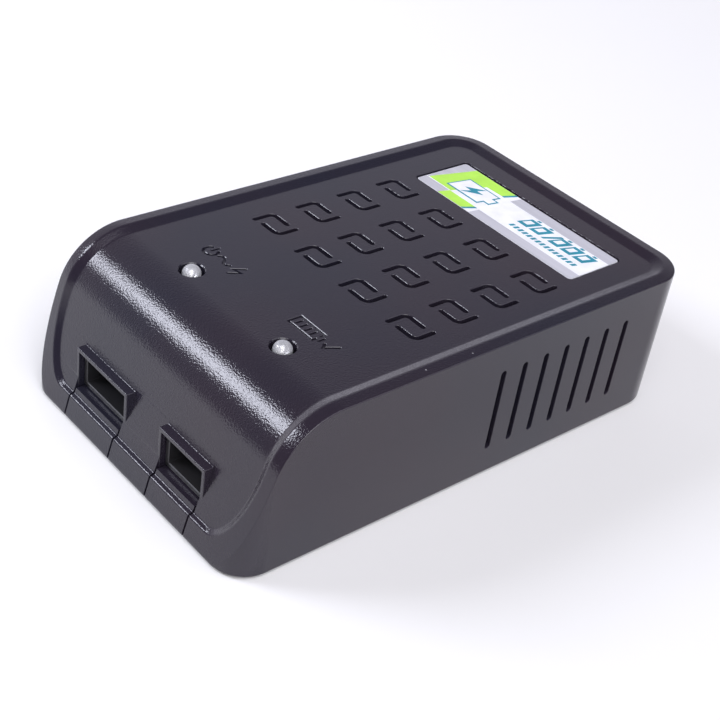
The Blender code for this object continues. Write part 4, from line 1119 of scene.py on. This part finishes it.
def make_shroud(node, contacts, material):
    """A pin header's housing, open to the front, with two key slots in its upper wall."""
    low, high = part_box(node)
    floor = low.y + HEADER_CAVITY
    bm = bmesh.new()
    add_box(bm, (low.x, high.x), (low.y, high.y), (low.z, high.z))
    shroud = add_object(f"{node}_shroud", bm, material)
    bm = bmesh.new()
    layers = []
    for grow, y in ((0.0, floor), (0.0, low.y + HEADER_SOFT), (HEADER_SOFT, low.y),
                    (HEADER_SOFT, low.y - CLEAR)):
        layers.append((box_outline(node, grow - HEADER_WALL, HEADER_CORNER, steps=3), y))
    add_stack(bm, layers, "xzy")
    combine(shroud, bm)

    bm = bmesh.new()
    half_slot = KEY_SLOT[0] / 2
    for middle in (low.x + KEY_INSET, high.x - KEY_INSET):
        add_box(bm, (middle - half_slot, middle + half_slot), (low.y - CLEAR, low.y + KEY_SLOT[1]),
                (high.z - HEADER_WALL - FIT, high.z + CLEAR))
    gap = 0.1 * MM
    for contact in contacts:
        pin_low, pin_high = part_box(contact)
        add_box(bm, (pin_low.x - gap, pin_high.x + gap), (floor - 0.5 * MM, high.y + CLEAR),
                (pin_high.z - 2 * PIN_HALF - gap, pin_high.z + gap))
    combine(shroud, bm)
    finish_piece(shroud, (node,))


def make_contact(contact, material):
    """A bent square pin with tapered ends."""
    low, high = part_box(contact)
    x = (low.x + high.x) / 2
    z = high.z - PIN_HALF
    leg = high.y - PIN_HALF
    sizes = [(low.y, z, 0, PIN_TIP[0]), (low.y + PIN_TIP[1], z, 0, PIN_HALF)]
    for i in range(PIN_BEND_STEPS + 1):
        angle = math.pi / 2 * i / PIN_BEND_STEPS
        sizes.append((leg - PIN_BEND + PIN_BEND * math.sin(angle),
                      z - PIN_BEND + PIN_BEND * math.cos(angle), angle, PIN_HALF))
    sizes.append((leg, low.z + PIN_TAIL[1], math.pi / 2, PIN_HALF))
    sizes.append((leg, low.z, math.pi / 2, PIN_TAIL[0]))
    bm = bmesh.new()
    rings = []
    for y, level, angle, size in sizes:
        up = Vector((0, math.sin(angle), math.cos(angle))) * size
        across = Vector((size, 0, 0))
        middle = Vector((x, y, level))
        corners = ((-1, -1), (1, -1), (1, 1), (-1, 1))
        rings.append([bm.verts.new(middle + across * a + up * b) for a, b in corners])
    for first, second in zip(rings, rings[1:]):
        for i in range(4):
            j = (i + 1) % 4
            bm.faces.new((first[i], first[j], second[j], second[i]))
    bm.faces.new(rings[0])
    bm.faces.new(rings[-1])
    finish_piece(add_object(f"{contact}_pin", bm, material), (contact,))


def make_header(node, materials):
    contacts = nodes_named(node.replace("_pin", "_contact"))
    make_shroud(node, contacts, materials["nylon"])
    for contact in contacts:
        make_contact(contact, materials["tin"])


def figure_eight(middle, grow):
    radius = INLET_MOUTH_RADIUS + grow
    x, z = middle
    right = arc((x + INLET_SPREAD, z), radius, -90, 90, 24)
    left = arc((x - INLET_SPREAD, z), radius, 90, 270, 24)
    return right + [(x, z + radius - INLET_DIP)] + left + [(x, z - radius + INLET_DIP)]


def make_inlet(materials):
    low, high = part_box("mains_inlet")
    middle = ((low.x + high.x) / 2, (low.z + high.z) / 2)
    floor = high.y - INLET_MOUTH_DEPTH
    rim = box_outline("mains_inlet", 0.0, INLET_CORNER)
    front = box_outline("mains_inlet", -INLET_SOFT, INLET_CORNER - INLET_SOFT)
    bm = bmesh.new()
    add_stack(bm, ((rim, low.y), (rim, high.y - INLET_SOFT), (front, high.y)), "xzy")
    body = add_object("mains_inlet_shroud", bm, materials["nylon"])
    bm = bmesh.new()
    add_flared(bm, lambda grow: figure_eight(middle, grow), floor, high.y, high.y + CLEAR, "xzy",
               INLET_FLARE)
    combine(body, bm)
    pins = nodes_named("inlet_pin_")
    places = {}
    bm = bmesh.new()
    for node in pins:
        pin_low, pin_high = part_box(node)
        places[node] = ((pin_low.x + pin_high.x) / 2, (pin_low.z + pin_high.z) / 2)
        add_prism(bm, circle(places[node], INLET_BORE, 32), low.y - CLEAR, floor + CLEAR, "xzy")
    combine(body, bm)
    finish_piece(body, ("mains_inlet",))
    for node in pins:
        pin_low, pin_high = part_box(node)
        radius = (pin_high.x - pin_low.x) / 2
        tip = arc((0, pin_high.y - radius), radius, 0, 90, 8)
        profile = [(0, pin_low.y), (radius, pin_low.y), *tip[:-1], (0, pin_high.y)]
        bm = bmesh.new()
        add_turned(bm, places[node], profile, 32, "xzy")
        finish_piece(add_object(f"{node}_round", bm, materials["nickel"]), (node,))


# ---------------------------------------------------------------- inner electronics

CANS = {"mains_capacitor": "black_sleeve", "output_capacitor_1": "blue_sleeve",
        "output_capacitor_2": "blue_sleeve"}
CAN_SOFT = 0.5 * MM
CAN_FOOT = 0.3 * MM
CAN_GROOVE = (0.25 * MM, 2.0 * MM, 0.6 * MM)     # its centre past the wall and above the base, radius
CAN_LID = (0.8, 0.15 * MM)                       # share of the radius, and how far it is sunk


def make_cans(materials):
    """Sleeved capacitors with a rolled groove near the base and a sunk lid."""
    for node, sleeve in CANS.items():
        low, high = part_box(node)
        radius = (high.x - low.x) / 2
        groove = arc((radius + CAN_GROOVE[0], low.z + CAN_GROOVE[1]), CAN_GROOVE[2], 245, 115, 8)
        crown = arc((radius - CAN_SOFT, high.z - CAN_SOFT), CAN_SOFT, 0, 90, 5)
        lid = high.z - CAN_LID[1]
        bm = bmesh.new()
        add_turned(bm, middle_of(node), [(0, low.z), (radius - CAN_FOOT, low.z),
                                         (radius, low.z + CAN_FOOT), *groove, *crown,
                                         (radius * CAN_LID[0], lid), (0, lid)])
        finish_piece(add_object(f"{node}_can", bm, materials[sleeve]), (node,))


# Parts that keep their shape and get soft edges: material, edge width in millimetres, slot
INNER = {
    "circuit_board": ("board", 0.08, "green_laminate"),
    "insulation_sheet": ("paper", 0.05, "insulation_paper"),
    "heat_sink": ("aluminium", 0.2, "aluminium"),
    "switching_transistor": ("resin", 0.12, "moulded_resin"),
    "mains_fuse": ("resin", 0.3, "moulded_resin"),
    "bridge_rectifier": ("resin", 0.2, "moulded_resin"),
    "safety_capacitor": ("ceramic", 0.4, "blue_ceramic"),
    "optocoupler": ("resin", 0.15, "moulded_resin"),
    "charge_controller": ("resin", 0.08, "moulded_resin"),
    "voltage_regulator": ("resin", 0.08, "moulded_resin"),
    "balance_resistor_1": ("resin", 0.08, "moulded_resin"),
    "balance_resistor_2": ("resin", 0.08, "moulded_resin"),
    "balance_resistor_3": ("resin", 0.08, "moulded_resin"),
    "transformer_bobbin": ("resin", 0.15, "moulded_resin"),
    "transformer_core_lower": ("ferrite", 0.2, "ferrite"),
    "transformer_core_upper": ("ferrite", 0.2, "ferrite"),
    "transformer_winding": ("tape", 0.25, "yellow_tape"),
    "line_choke": ("ferrite", 0.1, "ferrite"),
    "power_lamp_spacer": ("spacer", 0.1, "white_spacer"),
    "status_lamp_spacer": ("spacer", 0.1, "white_spacer"),
}


def make_inner_parts(materials):
    for node, (material, width, slot) in INNER.items():
        soft_copy(node, materials[material], width * MM)
    make_cans(materials)


# ---------------------------------------------------------------- floor, light and camera

def make_floor():
    bm = bmesh.new()
    add_box(bm, (-FLOOR_HALF, FLOOR_HALF), (-FLOOR_HALF, FLOOR_HALF), FLOOR_LEVELS)
    n = Nodes("floor_white")
    n.link(Base_Color=n.mix(n.noise(9.0), (0.895, 0.895, 0.865, 1), (0.91, 0.91, 0.88, 1)))
    n.gloss(n.noise(300.0), 0.7, 0.85)
    floor = add_object("floor", bm, n.material)


def add_softbox(name, position, target, size, power, colour=(1, 1, 1)):
    data = bpy.data.lights.new(name, "AREA")
    data.shape = "RECTANGLE"
    data.size, data.size_y = size
    data.energy = power
    data.color = colour
    lamp = bpy.data.objects.new(name, data)
    lamp.location = position
    lamp.rotation_mode = "QUATERNION"
    lamp.rotation_quaternion = (Vector(target) - Vector(position)).to_track_quat("-Z", "Y")
    bpy.context.collection.objects.link(lamp)


def make_sky():
    """A pale sweep low down and to the far side, dark overhead and toward the camera's side."""
    world = bpy.data.worlds.new("studio")
    bpy.context.scene.world = world
    world.use_nodes = True
    tree = world.node_tree
    link = tree.links.new
    background = tree.nodes["Background"]
    place = tree.nodes.new("ShaderNodeTexCoord").outputs["Generated"]

    lean = tree.nodes.new("ShaderNodeVectorMath")
    lean.operation = "DOT_PRODUCT"
    lean.inputs[1].default_value = SKY_LEAN
    low, high = SKY_STOPS[0][0], SKY_STOPS[-1][0]
    spread = tree.nodes.new("ShaderNodeMapRange")
    spread.inputs["From Min"].default_value = low
    spread.inputs["From Max"].default_value = high
    ramp = tree.nodes.new("ShaderNodeValToRGB")
    link(place, lean.inputs[0])
    link(lean.outputs["Value"], spread.inputs["Value"])
    link(spread.outputs["Result"], ramp.inputs["Fac"])
    link(ramp.outputs["Color"], background.inputs["Color"])
    elements = ramp.color_ramp.elements
    for level, _ in SKY_STOPS[1:-1]:
        elements.new((level - low) / (high - low))
    for element, (level, value) in zip(elements, SKY_STOPS):
        element.position = (level - low) / (high - low)
        element.color = rgba([value * tint for tint in SKY_TINT])

    split = tree.nodes.new("ShaderNodeSeparateXYZ")
    front = tree.nodes.new("ShaderNodeMapRange")
    for key, value in zip(RANGE, SKY_FRONT):
        front.inputs[key].default_value = value
    link(place, split.inputs[0])
    link(split.outputs["Y"], front.inputs["Value"])
    link(front.outputs["Result"], background.inputs["Strength"])


def make_light():
    """A strip softbox that draws the highlight along the bend, and a key for the shadow."""
    make_sky()
    way = Vector((0, -math.cos(STRIP_HEIGHT), math.sin(STRIP_HEIGHT)))
    bend = Vector((STRIP_X, *profile_point("bend", STRIP_AIM, 0.0)))
    add_softbox("strip_softbox", bend + way * STRIP_AWAY, bend, STRIP_SIZE, STRIP_POWER, STRIP_TINT)
    add_softbox("key_softbox", Vector(KEY_PLACE), (0, 0, 0), KEY_SIZE, KEY_POWER)


def make_camera():
    azimuth, elevation, roll = (math.radians(angle) for angle in VIEW_ANGLES)
    level = math.cos(elevation)
    back = Vector((math.sin(azimuth) * level, -math.cos(azimuth) * level, math.sin(elevation)))
    right = Vector((math.cos(azimuth), math.sin(azimuth), 0))
    up = back.cross(right)
    x_axis = right * math.cos(roll) + up * math.sin(roll)
    y_axis = up * math.cos(roll) - right * math.sin(roll)
    turn = Matrix((x_axis, y_axis, back)).transposed().to_4x4()
    data = bpy.data.cameras.new("camera")
    data.sensor_width = 36.0
    data.lens = LENS
    data.shift_x, data.shift_y = LENS_SHIFT
    data.clip_start = 0.01
    camera = bpy.data.objects.new("camera", data)
    camera.matrix_world = Matrix.Translation(VIEW_TARGET + back * VIEW_DISTANCE) @ turn
    bpy.context.collection.objects.link(camera)
    bpy.context.scene.camera = camera
    bpy.context.scene.view_settings.view_transform = "Standard"


def main():
    make_camera()
    make_light()
    make_floor()
    materials = make_materials()
    make_upper_housing(materials["case"])
    make_lower_housing(materials["case"])
    make_feet(materials["rubber"])
    make_screws(materials["steel"])
    make_label(materials)
    make_lamps(materials)
    for node in SOCKETS:
        make_header(node, materials)
    make_inlet(materials)
    make_inner_parts(materials)


main()
